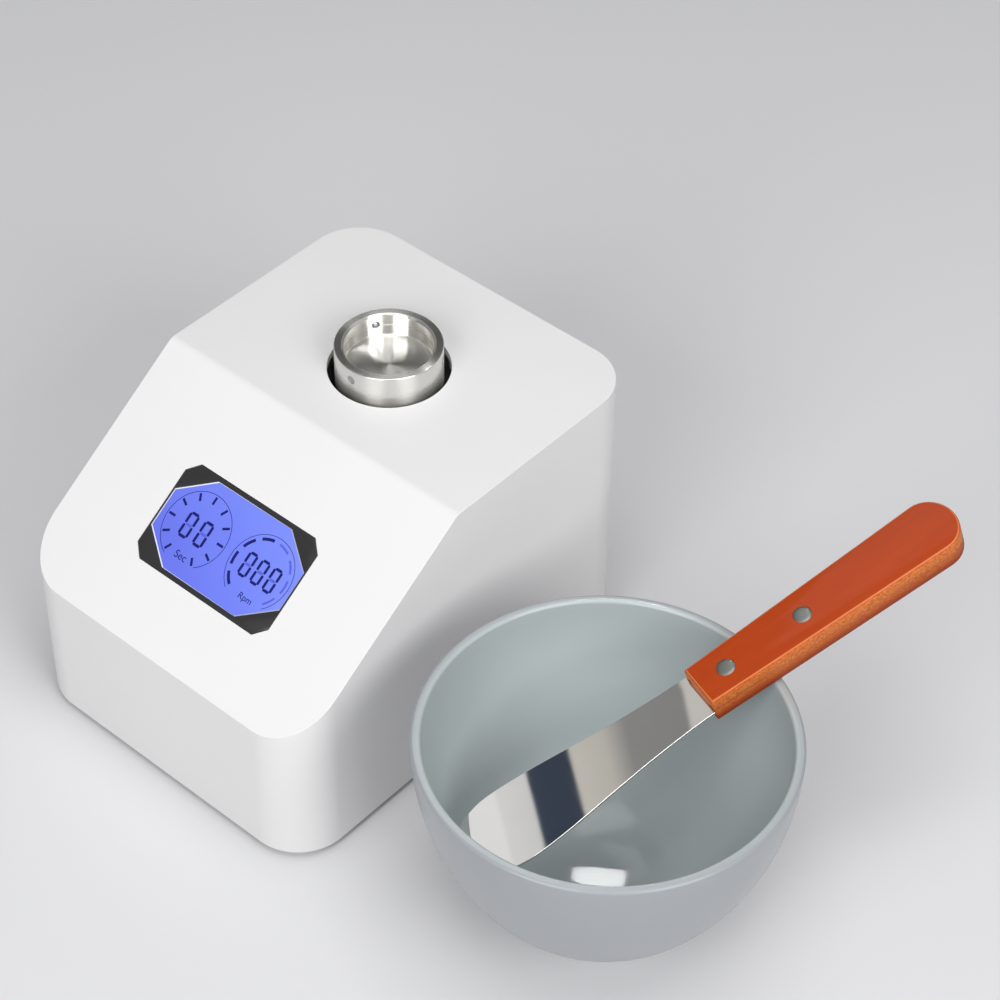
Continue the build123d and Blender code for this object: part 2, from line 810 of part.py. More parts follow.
ball_reach = chuck_bore_radius - plunger_nose + plunger_ball_radius
with BuildPart() as plunger_sleeves:
    for plunger in range(3):
        with BuildSketch(plunger_plane(plunger).offset(chuck_bore_radius + 0.2)):
            Circle(plunger_radius)
        extrude(amount=chuck_radius - chuck_bore_radius - 0.4)
        with BuildSketch(plunger_plane(plunger).offset(chuck_bore_radius)):
            Circle(plunger_ball_radius + 0.1)
        extrude(amount=ball_reach - chuck_bore_radius + plunger_travel + plunger_ball_radius + 0.1,
                mode=Mode.SUBTRACT)
pieces["plunger_sleeves"] = plunger_sleeves

for plunger in range(3):
    with BuildPart(plunger_plane(plunger).offset(ball_reach)) as plunger_ball:
        Sphere(plunger_ball_radius)
    pieces[f"plunger_ball_{plunger + 1}"] = plunger_ball

# ================= motor =================
motor_top = deck_top + motor_height
cap_spigot = 2.0
shaft_hole = motor_shaft_radius + 0.05
with BuildPart() as motor_can:
    with BuildSketch(motor_section):
        Polygon(
            (shaft_hole, deck_top),
            (motor_radius, deck_top),
            (motor_radius, motor_top),
            (motor_radius - motor_shell, motor_top),
            (motor_radius - motor_shell, deck_top + motor_end),
            (shaft_hole, deck_top + motor_end),
            align=None,
        )
    revolve(axis=motor_line)
    with BuildSketch(Plane.XY.offset(deck_top)):
        with Locations(*motor_screw_places):
            Circle(motor_screw_radius)
    extrude(amount=motor_end, mode=Mode.SUBTRACT)
pieces["motor_can"] = motor_can

with BuildPart() as motor_cap:
    with BuildSketch(motor_section):
        Polygon(
            (shaft_hole, motor_top - cap_spigot),
            (motor_radius - motor_shell, motor_top - cap_spigot),
            (motor_radius - motor_shell, motor_top),
            (motor_radius, motor_top),
            (motor_radius, motor_top + motor_end - 1),
            (motor_radius - 1, motor_top + motor_end),
            (shaft_hole, motor_top + motor_end),
            align=None,
        )
    revolve(axis=motor_line)
pieces["motor_cap"] = motor_cap

magnet_outer = motor_radius - motor_shell
rotor_radius = magnet_outer - magnet_thickness - rotor_gap
rotor_middle = (deck_top + motor_end + motor_top - cap_spigot) / 2
with BuildPart() as motor_magnets:
    with BuildSketch(Plane.XY.offset(rotor_middle - rotor_height / 2 - 2)):
        with Locations((0, motor_y)):
            Circle(magnet_outer)
            Circle(magnet_outer - magnet_thickness, mode=Mode.SUBTRACT)
            Rectangle(rotor_radius, 2 * motor_radius, mode=Mode.SUBTRACT)
    extrude(amount=rotor_height + 4)
pieces["motor_magnets"] = motor_magnets

with BuildPart() as motor_rotor:
    with BuildSketch(Plane.XY.offset(rotor_middle - rotor_height / 2)):
        with Locations((0, motor_y)):
            Circle(rotor_radius)
            Circle(motor_shaft_radius, mode=Mode.SUBTRACT)
            with PolarLocations(rotor_radius, rotor_slots):
                SlotOverall(rotor_radius, 2, mode=Mode.SUBTRACT)
    extrude(amount=rotor_height)
pieces["motor_rotor"] = motor_rotor

with BuildPart() as motor_shaft:
    with BuildSketch(Plane.XY.offset(spindle_bottom + 1)):
        with Locations((0, motor_y)):
            Circle(motor_shaft_radius)
    extrude(amount=motor_top + motor_end + 1 - spindle_bottom - 1)
    chamfer(motor_shaft.edges(), length=0.5)
pieces["motor_shaft"] = motor_shaft

pieces["motor_screws"] = screw(
    Plane.XY.offset(deck_level), motor_screw_places, motor_screw_radius - press_gap,
    deck_thickness + motor_end - slip_gap, 2 * motor_screw_radius, motor_screw_radius)

# ================= side boards =================
board_length = board_back - board_front
board_middle = (board_back + board_front) / 2
right_board_plane = Plane(origin=(board_x, 0, 0), x_dir=(0, 1, 0), z_dir=(1, 0, 0))
left_board_plane = Plane(origin=(-board_x, 0, 0), x_dir=(0, -1, 0), z_dir=(-1, 0, 0))
right_parts_plane = right_board_plane.offset(board_thickness)
left_parts_plane = left_board_plane.offset(board_thickness)
board_z = board_low + board_height / 2


def circuit_board(plane, middle, width, height, hole_size, hole_inset):
    """A plain circuit board with a hole at each corner."""
    with BuildPart() as board:
        with BuildSketch(plane):
            with Locations(middle):
                RectangleRounded(width, height, 1.5)
                with GridLocations(width - 2 * hole_inset, height - 2 * hole_inset, 2, 2):
                    Circle(hole_size, mode=Mode.SUBTRACT)
        extrude(amount=board_thickness)
    return board


pieces["supply_board"] = circuit_board(
    right_board_plane, (board_middle, board_z), board_length, board_height,
    board_hole_radius, board_hole_inset)
pieces["control_board"] = circuit_board(
    left_board_plane, (-board_middle, board_z), board_length, board_height,
    board_hole_radius, board_hole_inset)

transformer_place = (board_middle + transformer_along, board_low + transformer_up)
core_window = (transformer_width - 4 * core_limb) / 2
with BuildPart() as supply_transformer:
    with BuildSketch(right_parts_plane):
        with Locations(transformer_place):
            Rectangle(transformer_width, transformer_height)
            with GridLocations(2 * core_limb + core_window, 1, 2, 1):
                Rectangle(core_window, transformer_height - 2 * core_limb, mode=Mode.SUBTRACT)
    extrude(amount=transformer_depth)
    with BuildSketch(right_parts_plane.offset(bobbin_inset)):
        with Locations(transformer_place):
            RectangleRounded(bobbin_width, bobbin_height, bobbin_inset)
    extrude(amount=transformer_depth - 2 * bobbin_inset)
pieces["supply_transformer"] = supply_transformer

capacitor_level = board_low + 2 * capacitor_radius
with BuildPart() as supply_capacitors:
    capacitor_edge = board_middle + capacitor_along + capacitor_radius
    for radius, height in (
        (capacitor_radius, capacitor_height),
        (small_capacitor_radius, small_capacitor_height),
        (small_capacitor_radius, small_capacitor_height),
    ):
        with BuildSketch(right_parts_plane):
            with Locations((capacitor_edge - radius, capacitor_level)):
                Circle(radius)
        extrude(amount=height)
        capacitor_edge -= 2 * radius + capacitor_gap
    chamfer(supply_capacitors.faces().filter_by(Axis.X).sort_by(Axis.X)[-3:].edges(), length=0.8)
pieces["supply_capacitors"] = supply_capacitors

with BuildPart() as supply_heatsink:
    with BuildSketch(right_parts_plane):
        with Locations((board_middle + heatsink_along, board_low + board_height - heatsink_depth)):
            Rectangle(heatsink_width, heatsink_web)
            with GridLocations((heatsink_width - fin_thickness) / (heatsink_fins - 1), 1, heatsink_fins, 1):
                Rectangle(fin_thickness, heatsink_depth)
    extrude(amount=heatsink_depth)
pieces["supply_heatsink"] = supply_heatsink

with BuildPart() as control_parts:
    for along, up, width, height, depth in (
        (processor_along, processor_up, processor_size, processor_size, processor_height),
        (relay_along, relay_up, relay_width, relay_height, relay_depth),
        (header_along, header_up, relay_height, header_height, header_depth),
        (ribbon_along, ribbon_up, ribbon_socket_width, header_height, header_depth),
    ):
        with BuildSketch(left_parts_plane):
            with Locations((along - board_middle, board_low + up)):
                Rectangle(width, height)
        extrude(amount=depth)
pieces["control_parts"] = control_parts

# ================= display =================
light_guide_thickness = frame_back - glass_recess - glass_thickness

with BuildPart() as display_frame:
    with BuildSketch(display_plane.offset(-frame_back)):
        RectangleRounded(frame_width, frame_height, 1)
        with Locations(*display_screw_places):
            Circle(display_screw_radius, mode=Mode.SUBTRACT)
    extrude(amount=flange_thickness)
    with BuildSketch(display_plane.offset(-wall)):
        octagon(display_width - 2 * seat_gap, display_height - 2 * seat_gap, display_corner, display_corner)
    extrude(amount=wall)
    with BuildSketch(display_plane.offset(-frame_back)):
        octagon(lit_width, lit_height, lit_corner_x, lit_corner_y)
    extrude(amount=frame_back, mode=Mode.SUBTRACT)
pieces["display_frame"] = display_frame

with BuildPart() as lcd_glass:
    with BuildSketch(display_plane.offset(-glass_recess)):
        octagon(lit_width - seat_gap, lit_height - seat_gap, lit_corner_x, lit_corner_y)
    extrude(amount=-glass_thickness)
pieces["lcd_glass"] = lcd_glass

with BuildPart() as light_guide:
    with BuildSketch(display_plane.offset(-frame_back)):
        octagon(lit_width - seat_gap, lit_height - seat_gap, lit_corner_x, lit_corner_y)
    extrude(amount=light_guide_thickness)
pieces["light_guide"] = light_guide

with BuildPart() as display_board:
    with BuildSketch(display_plane.offset(-frame_back)):
        RectangleRounded(frame_width, frame_height, 1)
        with Locations(*display_screw_places):
            Circle(display_screw_radius, mode=Mode.SUBTRACT)
    extrude(amount=-board_thickness)
    # ribbon socket on the back
    with BuildSketch(display_plane.offset(-frame_back - board_thickness)):
        with Locations((0, header_height - frame_height / 2)):
            Rectangle(ribbon_socket_width, header_height)
    extrude(amount=-ribbon_socket_depth)
pieces["display_board"] = display_board

display_stack_plane = display_plane.offset(-frame_back - board_thickness)
display_screws = screw(
    display_stack_plane, display_screw_places, display_screw_radius - press_gap,
    board_thickness + flange_thickness + display_screw_bite, display_head_radius, display_head_height)
pieces["display_screws"] = display_screws

# ================= rear: mains inlet and switch =================
inlet_plane = rear_plane.shift_origin(rear_plane.from_local_coords((-inlet_x, rear_z, 0)))
switch_plane = rear_plane.shift_origin(rear_plane.from_local_coords((-switch_x, rear_z, 0)))
pin_places = ((-pin_pitch, -pin_drop), (0, pin_drop), (pin_pitch, -pin_drop))

with BuildPart() as mains_inlet:
    with BuildSketch(inlet_plane):
        RectangleRounded(inlet_flange_width, inlet_flange_height, 3)
    extrude(amount=rear_flange)
    with BuildSketch(inlet_plane):
        RectangleRounded(inlet_width - 2 * seat_gap, inlet_height - 2 * seat_gap, 2)
    extrude(amount=-inlet_depth)
    with BuildSketch(inlet_plane.offset(rear_flange)) as socket:
        Rectangle(inlet_socket_width, inlet_socket_height)
        chamfer(socket.vertices().group_by(Axis.Y)[-1], length=4.5)
        fillet(socket.vertices().group_by(Axis.Y)[0], radius=1.5)
    extrude(amount=-inlet_socket_depth - rear_flange, mode=Mode.SUBTRACT)
    with BuildSketch(inlet_plane.offset(-inlet_depth)):
        with Locations(*pin_places):
            Rectangle(pin_width, pin_height)
    extrude(amount=inlet_depth - inlet_socket_depth, mode=Mode.SUBTRACT)
pieces["mains_inlet"] = mains_inlet

with BuildPart() as inlet_pins:
    with BuildSketch(inlet_plane.offset(-inlet_depth - pin_tail)):
        with Locations(*pin_places):
            Rectangle(pin_width, pin_height)
    extrude(amount=inlet_depth + pin_tail - inlet_socket_depth + pin_length)
    chamfer(inlet_pins.faces().sort_by(Axis.Y)[-3:].edges(), length=0.5)
pieces["inlet_pins"] = inlet_pins

switch_opening_width = switch_width - 2 * seat_gap - 2 * rocker_wall
switch_opening_height = switch_height - 2 * seat_gap - 2 * rocker_wall
rocker_half = switch_opening_height / 2 - 0.8
rocker_lean = radians(rocker_swing / 2)
with BuildPart() as switch_body:
    with BuildSketch(switch_plane):
        RectangleRounded(switch_width + 2 * switch_rim, switch_height + 2 * switch_rim, 1.2)
    extrude(amount=rear_flange)
    with BuildSketch(switch_plane):
        Rectangle(switch_width - 2 * seat_gap, switch_height - 2 * seat_gap)
    extrude(amount=-switch_depth)
    with BuildSketch(switch_plane.offset(rear_flange)):
        Rectangle(switch_opening_width, switch_opening_height)
    extrude(amount=-rear_flange - rocker_drop - 1.5, mode=Mode.SUBTRACT)
    # terminal blades
    with BuildSketch(switch_plane.offset(-switch_depth)):
        with GridLocations(1, terminal_pitch, 1, 2):
            Rectangle(terminal_thickness, terminal_width)
    extrude(amount=-terminal_length)
    chamfer(switch_body.faces().sort_by(Axis.Y)[-1].outer_wire().edges(), length=0.5)
pieces["switch_body"] = switch_body

rocker_section = Plane(
    origin=switch_plane.origin - Vector(switch_opening_width / 2 - slip_gap, 0, 0),
    x_dir=(0, cos(rocker_lean), sin(rocker_lean)),
    z_dir=(1, 0, 0),
)
with BuildPart() as switch_rocker:
    with BuildSketch(rocker_section):
        with BuildLine():
            face_middle = rear_flange + 0.3
            face_end = face_middle + rocker_half * sin(rocker_lean) / cos(rocker_lean)
            Polyline(
                (-1, -rocker_half),
                (face_end, -rocker_half),
                (face_middle, 0),
                (face_end, rocker_half),
                (-1, rocker_half),
            )
            ThreePointArc((-1, rocker_half), (-rocker_drop, 0), (-1, -rocker_half))
        make_face()
    extrude(amount=switch_opening_width - 2 * slip_gap)
pieces["switch_rocker"] = switch_rocker

# ================= left side: two knobs and the start button =================


def left_point(y, out):
    """Plane on the left side wall at control height, facing out, moved out by a distance."""
    return Plane(origin=(-side_face - out, y, control_z), x_dir=(0, -1, 0), z_dir=(-1, 0, 0))


pot_hole = pot_shaft_radius + 0.05
with BuildPart() as control_pots:
    for y in (speed_knob_y, time_knob_y):
        with BuildSketch(left_point(y, -wall - pot_depth)):
            Circle(pot_radius)
            with Locations((0, -pot_radius)):
                Rectangle(1.6 * pot_radius, pot_radius, mode=Mode.ADD)
        extrude(amount=pot_depth)
        with BuildSketch(left_point(y, -wall)):
            Circle(bush_radius)
        extrude(amount=wall + bush_rise)
        with BuildSketch(left_point(y, bush_rise)):
            Circle(pot_hole)
        extrude(amount=-bush_rise - wall - pot_depth + 1, mode=Mode.SUBTRACT)
pieces["control_pots"] = control_pots


def control_knob(y):
    """Fluted knob with a pointer groove, and the shaft it turns."""
    with BuildPart() as knob:
        with BuildSketch(left_point(y, slip_gap)):
            Circle(knob_radius)
            with PolarLocations(knob_radius + flute_radius / 3, knob_flutes):
                Circle(flute_radius, mode=Mode.SUBTRACT)
        extrude(amount=knob_height)
        chamfer(knob.faces().sort_by(Axis.X)[0].edges().filter_by(
            lambda edge: edge.radius > knob_radius - 1), length=0.5)
        with BuildSketch(left_point(y, slip_gap)):
            Circle(bush_radius + 2.5)
        extrude(amount=bush_rise + slip_gap, mode=Mode.SUBTRACT)
        with BuildSketch(left_point(y, slip_gap + knob_height)):
            with Locations((0, knob_radius * 0.55)):
                SlotOverall(knob_radius * 0.8, pointer_width, rotation=90)
        extrude(amount=-pointer_depth, mode=Mode.SUBTRACT)
        with BuildSketch(left_point(y, slip_gap + knob_height / 2)):
            Circle(pot_shaft_radius)
        extrude(amount=-knob_height / 2 - slip_gap - wall - pot_depth + 2)
    return knob


pieces["speed_knob"] = control_knob(speed_knob_y)
pieces["time_knob"] = control_knob(time_knob_y)

with BuildPart() as start_switch:
    with BuildSketch(left_point(button_y, 0)):
        Circle(button_bezel_radius)
    extrude(amount=button_bezel_rise)
    with BuildSketch(left_point(button_y, 0)):
        Circle(button_barrel_radius - seat_gap)
    extrude(amount=-wall - button_barrel_depth)
    with BuildSketch(left_point(button_y, button_bezel_rise)):
        Circle(button_radius)
    extrude(amount=-button_bezel_rise - wall - button_travel - button_spare, mode=Mode.SUBTRACT)
    chamfer(start_switch.faces().sort_by(Axis.X)[0].outer_wire().edges(), length=0.5)
    with BuildSketch(left_point(button_y, -wall)):
        RegularPolygon(button_nut_radius, 6)
        Circle(button_barrel_radius - seat_gap, mode=Mode.SUBTRACT)
    extrude(amount=-button_nut_thickness)
pieces["start_switch"] = start_switch

with BuildPart() as start_button:
    with BuildSketch(left_point(button_y, -wall)):
        Circle(button_radius - slip_gap)
    extrude(amount=wall + button_bezel_rise + button_proud)
    chamfer(start_button.faces().sort_by(Axis.X)[0].edges(), length=0.6)
pieces["start_button"] = start_button

# ================= bowl and its stub =================
bowl_section = Plane(origin=(bowl_x, bowl_y, 0), x_dir=(1, 0, 0), z_dir=(0, -1, 0))
bowl_line = Axis((bowl_x, bowl_y, 0), (0, 0, 1))
bowl_rim = stub_length + bowl_height
inner_floor = stub_length + bowl_bottom
inner_radius = bowl_radius - bowl_wall


def bowl_curve(floor, radius, low_arc):
    """Two arcs that leave the floor level and meet the rim upright: centres, radii and the angle between."""
    width = radius - bowl_foot_radius
    height = bowl_rim - floor
    high_arc = (width ** 2 + height ** 2 - 2 * height * low_arc) / (2 * (width - low_arc))
    low_centre = (bowl_foot_radius, floor + low_arc)
    high_centre = (radius - high_arc, bowl_rim)
    meeting = degrees(atan2(low_centre[1] - high_centre[1], low_centre[0] - high_centre[0]))
    return low_centre, high_centre, high_arc, meeting


outer_low, outer_high, outer_high_arc, outer_meeting = bowl_curve(stub_length, bowl_radius, bowl_low_arc)
inner_low, inner_high, inner_high_arc, inner_meeting = bowl_curve(inner_floor, inner_radius, bowl_inner_arc)

with BuildPart() as bowl:
    with BuildSketch(bowl_section) as bowl_profile:
        with BuildLine():
            Polyline((bowl_foot_radius, inner_floor), (0, inner_floor), (0, stub_length),
                     (bowl_foot_radius, stub_length))
            CenterArc(outer_low, bowl_low_arc, -90, 90 + outer_meeting)
            CenterArc(outer_high, outer_high_arc, outer_meeting, -outer_meeting)
            Line((bowl_radius, bowl_rim), (inner_radius, bowl_rim))
            CenterArc(inner_high, inner_high_arc, inner_meeting, -inner_meeting)
            CenterArc(inner_low, bowl_inner_arc, -90, 90 + inner_meeting)
        make_face()
        fillet(bowl_profile.vertices().group_by(Axis.Y)[-1], radius=rim_rounding)
    revolve(axis=bowl_line)
    with BuildSketch(Plane.XY.offset(stub_length)):
        with Locations((bowl_x, bowl_y)):
            Circle(bowl_boss_radius)
    extrude(amount=bowl_boss_height)
    with BuildSketch(Plane.XY.offset(stub_length)):
        with Locations((bowl_x, bowl_y)):
            Circle(insert_radius)
    extrude(amount=insert_length, mode=Mode.SUBTRACT)
pieces["bowl"] = bowl

with BuildPart() as bowl_insert:
    with BuildSketch(Plane.XY.offset(stub_length)):
        with Locations((bowl_x, bowl_y)):
            Circle(insert_radius)
            Circle(stub_screw_radius, mode=Mode.SUBTRACT)
    extrude(amount=insert_length)
pieces["bowl_insert"] = bowl_insert

stub_radius = chuck_bore_radius - stub_clearance
groove_level = stub_length - plunger_drop
with BuildPart() as bowl_stub:
    with BuildSketch(bowl_section):
        Polygon(
            (stub_screw_radius + 0.1, stub_head_recess),
            (stub_head_radius + 0.3, stub_head_recess),
            (stub_head_radius + 0.3, 0),
            (stub_radius - stub_chamfer, 0),
            (stub_radius, stub_chamfer),
            (stub_radius, groove_level - stub_groove),
            (stub_radius - stub_groove_depth, groove_level),
            (stub_radius, groove_level + stub_groove),
            (stub_radius, stub_length),
            (stub_screw_radius + 0.1, stub_length),
            align=None,
        )
    revolve(axis=bowl_line)
pieces["bowl_stub"] = bowl_stub

with BuildPart() as stub_screw:
    with BuildSketch(bowl_section):
        Polygon(
            (0, stub_head_inset),
            (stub_head_radius, stub_head_inset),
            (stub_head_radius, stub_head_recess),
            (stub_screw_radius - press_gap, stub_head_recess),
            (stub_screw_radius - press_gap, stub_length + insert_length - slip_gap),
            (0, stub_length + insert_length - slip_gap),
            align=None,
        )
    revolve(axis=bowl_line)
    with BuildSketch(Plane.XY.offset(stub_head_inset)):
        with Locations((bowl_x, bowl_y)):
            RegularPolygon(stub_screw_radius, 6)
    extrude(amount=stub_socket_depth, mode=Mode.SUBTRACT)
pieces["stub_screw"] = stub_screw

# ================= spatula =================
# It lies as it was put down: the handle's underside on the bowl's rim and the
# blade's tip against the inner wall. The place is found from those two seats.
turn = radians(handle_turn)
rise = radians(handle_rise)
handle_thickness = 2 * scale_thickness
blade_level = scale_thickness
seat_width = (handle_near_width + handle_far_width) / 4 + abs(handle_shift)
rim_reach = sqrt(inner_radius ** 2 - seat_width ** 2)


def inner_wall_radius(level):
    """Inside radius of the bowl at a height above the table."""
    meeting_level = bowl_rim + inner_high_arc * sin(radians(inner_meeting))
    if level > meeting_level:
        return inner_high[0] + sqrt(inner_high_arc ** 2 - (bowl_rim - level) ** 2)
    return bowl_foot_radius + sqrt(bowl_inner_arc ** 2 - (inner_low[1] - level) ** 2)


# distances are level ones from the bowl's axis, heights are from the table
underside_reach = inner_radius / 2
for step in range(40):
    underside_start = bowl_rim + slip_gap - (rim_reach - underside_reach) * sin(rise) / cos(rise)
    blade_start_reach = underside_reach - (handle_thickness - blade_level) * sin(rise)
    blade_start_level = underside_start + (handle_thickness - blade_level) * cos(rise)
    tip_level = blade_start_level - blade_length * sin(rise)
    tip_reach = blade_length * cos(rise) - blade_start_reach
    underside_reach += tip_reach + tip_gap - inner_wall_radius(tip_level)
start_reach = underside_reach - handle_thickness * sin(rise)
start_level = underside_start + handle_thickness * cos(rise)
print("handle starts", round(start_reach, 2), "from the bowl's axis at height", round(start_level, 2))

handle_plane = Plane(
    origin=(
        bowl_x + start_reach * cos(turn) - handle_shift * sin(turn),
        bowl_y + start_reach * sin(turn) + handle_shift * cos(turn),
        start_level,
    ),
    x_dir=(cos(rise) * cos(turn), cos(rise) * sin(turn), sin(rise)),
    z_dir=(-sin(rise) * cos(turn), -sin(rise) * sin(turn), cos(rise)),
)
blade_plane = handle_plane.offset(-blade_level - blade_thickness / 2)


def wooden_scale(top_level, outer_side):
    """One half of the handle, with the shallow pocket that holds the blade's tang."""
    with BuildPart() as scale:
        with BuildSketch(handle_plane.offset(top_level)):
            with BuildLine():
                Polyline(
                    (handle_length - handle_end_length, -handle_far_width / 2),
                    (0, -handle_near_width / 2),
                    (0, handle_near_width / 2),
                    (handle_length - handle_end_length, handle_far_width / 2),
                )
                EllipticalCenterArc(
                    (handle_length - handle_end_length, 0), handle_end_length, handle_far_width / 2,
                    start_angle=-90, arc_size=180)
            make_face()
        extrude(amount=-scale_thickness)
        outer_faces = scale.faces().filter_by(
            lambda face: abs(face.normal_at().dot(handle_plane.z_dir) - outer_side) < 0.001)
        fillet(outer_faces[0].edges(), radius=handle_edge)
        with BuildSketch(blade_plane):
            with Locations((tang_length / 2, 0)):
                Rectangle(tang_length + 2 * seat_gap, tang_width + 2 * seat_gap)
        extrude(amount=blade_thickness, mode=Mode.SUBTRACT)
        with BuildSketch(handle_plane):
            with Locations(*[(place, 0) for place in rivet_places]):
                Circle(rivet_radius + press_gap)
        extrude(amount=-handle_thickness, mode=Mode.SUBTRACT)
    return scale


pieces["upper_scale"] = wooden_scale(0, 1)
pieces["lower_scale"] = wooden_scale(-scale_thickness, -1)

with BuildPart() as handle_rivets:
    with BuildSketch(handle_plane):
        with Locations(*[(place, 0) for place in rivet_places]):
            Circle(rivet_radius)
    extrude(amount=-handle_thickness)
pieces["handle_rivets"] = handle_rivets

tip_start = blade_length - blade_tip_length
with BuildPart() as spatula_blade:
    with BuildSketch(blade_plane):
        with BuildLine():
            Line((-seat_gap, blade_neck_width / 2), (-seat_gap, -blade_neck_width / 2))
            Spline(
                (-seat_gap, -blade_neck_width / 2),
                (-blade_neck_length, -blade_neck_width / 2 - 0.5),
                (-(blade_neck_length + tip_start) / 2, -(blade_neck_width + blade_wide) / 4 - 0.4),
                (-tip_start, -blade_wide / 2),
                tangents=((-1, 0), (-1, 0)),
            )
            EllipticalCenterArc(
                (-tip_start, 0), blade_tip_length, blade_wide / 2, start_angle=270, arc_size=-180)
            Spline(
                (-tip_start, blade_wide / 2),
                (-(blade_neck_length + tip_start) / 2, (blade_neck_width + blade_wide) / 4 + 0.4),
                (-blade_neck_length, blade_neck_width / 2 + 0.5),
                (-seat_gap, blade_neck_width / 2),
                tangents=((1, 0), (1, 0)),
            )
        make_face()
        with Locations((tang_length / 2 - 1, 0)):
            Rectangle(tang_length + 2, tang_width)
        with Locations(*[(place, 0) for place in rivet_places]):
            Circle(rivet_radius + press_gap, mode=Mode.SUBTRACT)
    extrude(amount=blade_thickness)
pieces["spatula_blade"] = spatula_blade

# ================= the set's own footprint =================
boxes = [piece.part.bounding_box() for piece in pieces.values()]
set_middle_x = round((min(box.min.X for box in boxes) + max(box.max.X for box in boxes)) / 2, 1)
set_middle_y = round((min(box.min.Y for box in boxes) + max(box.max.Y for box in boxes)) / 2, 1)
print("the set is moved by", -set_middle_x, -set_middle_y)

os.makedirs("parts", exist_ok=True)
for name, piece in pieces.items():
    placed = Pos(-set_middle_x, -set_middle_y, 0) * piece.part
    placed.label = name
    export_step(placed, f"parts/{name}.step")
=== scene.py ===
import math

import bmesh
import bpy
from mathutils import Matrix, Vector


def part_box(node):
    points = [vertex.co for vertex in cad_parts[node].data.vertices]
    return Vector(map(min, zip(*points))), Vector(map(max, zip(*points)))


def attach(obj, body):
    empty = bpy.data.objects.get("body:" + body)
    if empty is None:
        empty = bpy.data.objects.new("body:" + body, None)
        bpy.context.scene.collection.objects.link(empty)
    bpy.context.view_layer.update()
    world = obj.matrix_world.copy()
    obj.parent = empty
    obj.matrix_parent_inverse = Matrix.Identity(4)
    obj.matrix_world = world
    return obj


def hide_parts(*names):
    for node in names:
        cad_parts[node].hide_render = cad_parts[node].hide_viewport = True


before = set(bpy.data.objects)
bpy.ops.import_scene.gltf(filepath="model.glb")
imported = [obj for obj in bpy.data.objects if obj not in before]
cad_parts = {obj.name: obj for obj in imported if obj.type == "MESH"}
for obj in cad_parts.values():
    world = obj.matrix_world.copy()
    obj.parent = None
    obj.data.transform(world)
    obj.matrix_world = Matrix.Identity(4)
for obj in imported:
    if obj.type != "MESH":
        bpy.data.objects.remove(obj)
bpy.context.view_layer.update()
scene = bpy.context.scene

# ---------------------------------------------------------------- camera
# The photographer stands to the right of the machine and above it, with a long
# lens, and looks down at the display, the bowl and the spatula.
camera_yaw = math.radians(40.70)
camera_pitch = math.radians(43.74)
camera_roll = math.radians(0.83)
camera_at = (0.45475, -0.51687, 0.77545)
bpy.ops.object.camera_add(location=camera_at)
camera = bpy.context.object
camera.name = "camera"
camera.matrix_world = (
    Matrix.Translation(camera_at)
    @ Matrix.Rotation(camera_yaw, 4, "Z")
    @ Matrix.Rotation(math.pi / 2 - camera_pitch, 4, "X")
    @ Matrix.Rotation(camera_roll, 4, "Z")
)
camera.data.sensor_width = 36
camera.data.lens = 99.83
camera.data.clip_end = 20
scene.camera = camera


# ---------------------------------------------------------------- housing
# One injection-moulded shell in satin white plastic: a wedge with rounded upright
# corners, a sloping front face and a level top. It stands 3 mm off the table and
# is screwed to the base plate from below.
class Socket:
    """A shader value that Python's own operators can work on."""

    def __init__(self, finish, output):
        self.finish = finish
        self.output = output

    def maths(self, operation, *values):
        return self.finish.add("ShaderNodeMath", {"operation": operation}, dict(enumerate(values)))

    def __add__(self, other):
        return self.maths("ADD", self, other)

    def __radd__(self, other):
        return self.maths("ADD", other, self)

    def __rsub__(self, other):
        return self.maths("SUBTRACT", other, self)

    def __mul__(self, other):
        return self.maths("MULTIPLY", self, other)

    def __rmul__(self, other):
        return self.maths("MULTIPLY", other, self)

    def __pow__(self, other):
        return self.maths("POWER", self, other)

    def __lt__(self, other):
        return self.maths("LESS_THAN", self, other)

    def __abs__(self):
        return self.maths("ABSOLUTE", self)

    def within(self, low, high):
        """Nought at low and one at high, with a straight ramp between."""
        return self.finish.add(
            "ShaderNodeMapRange", {"clamp": True},
            {"Value": self, "From Min": low, "From Max": high, "To Min": 0, "To Max": 1})


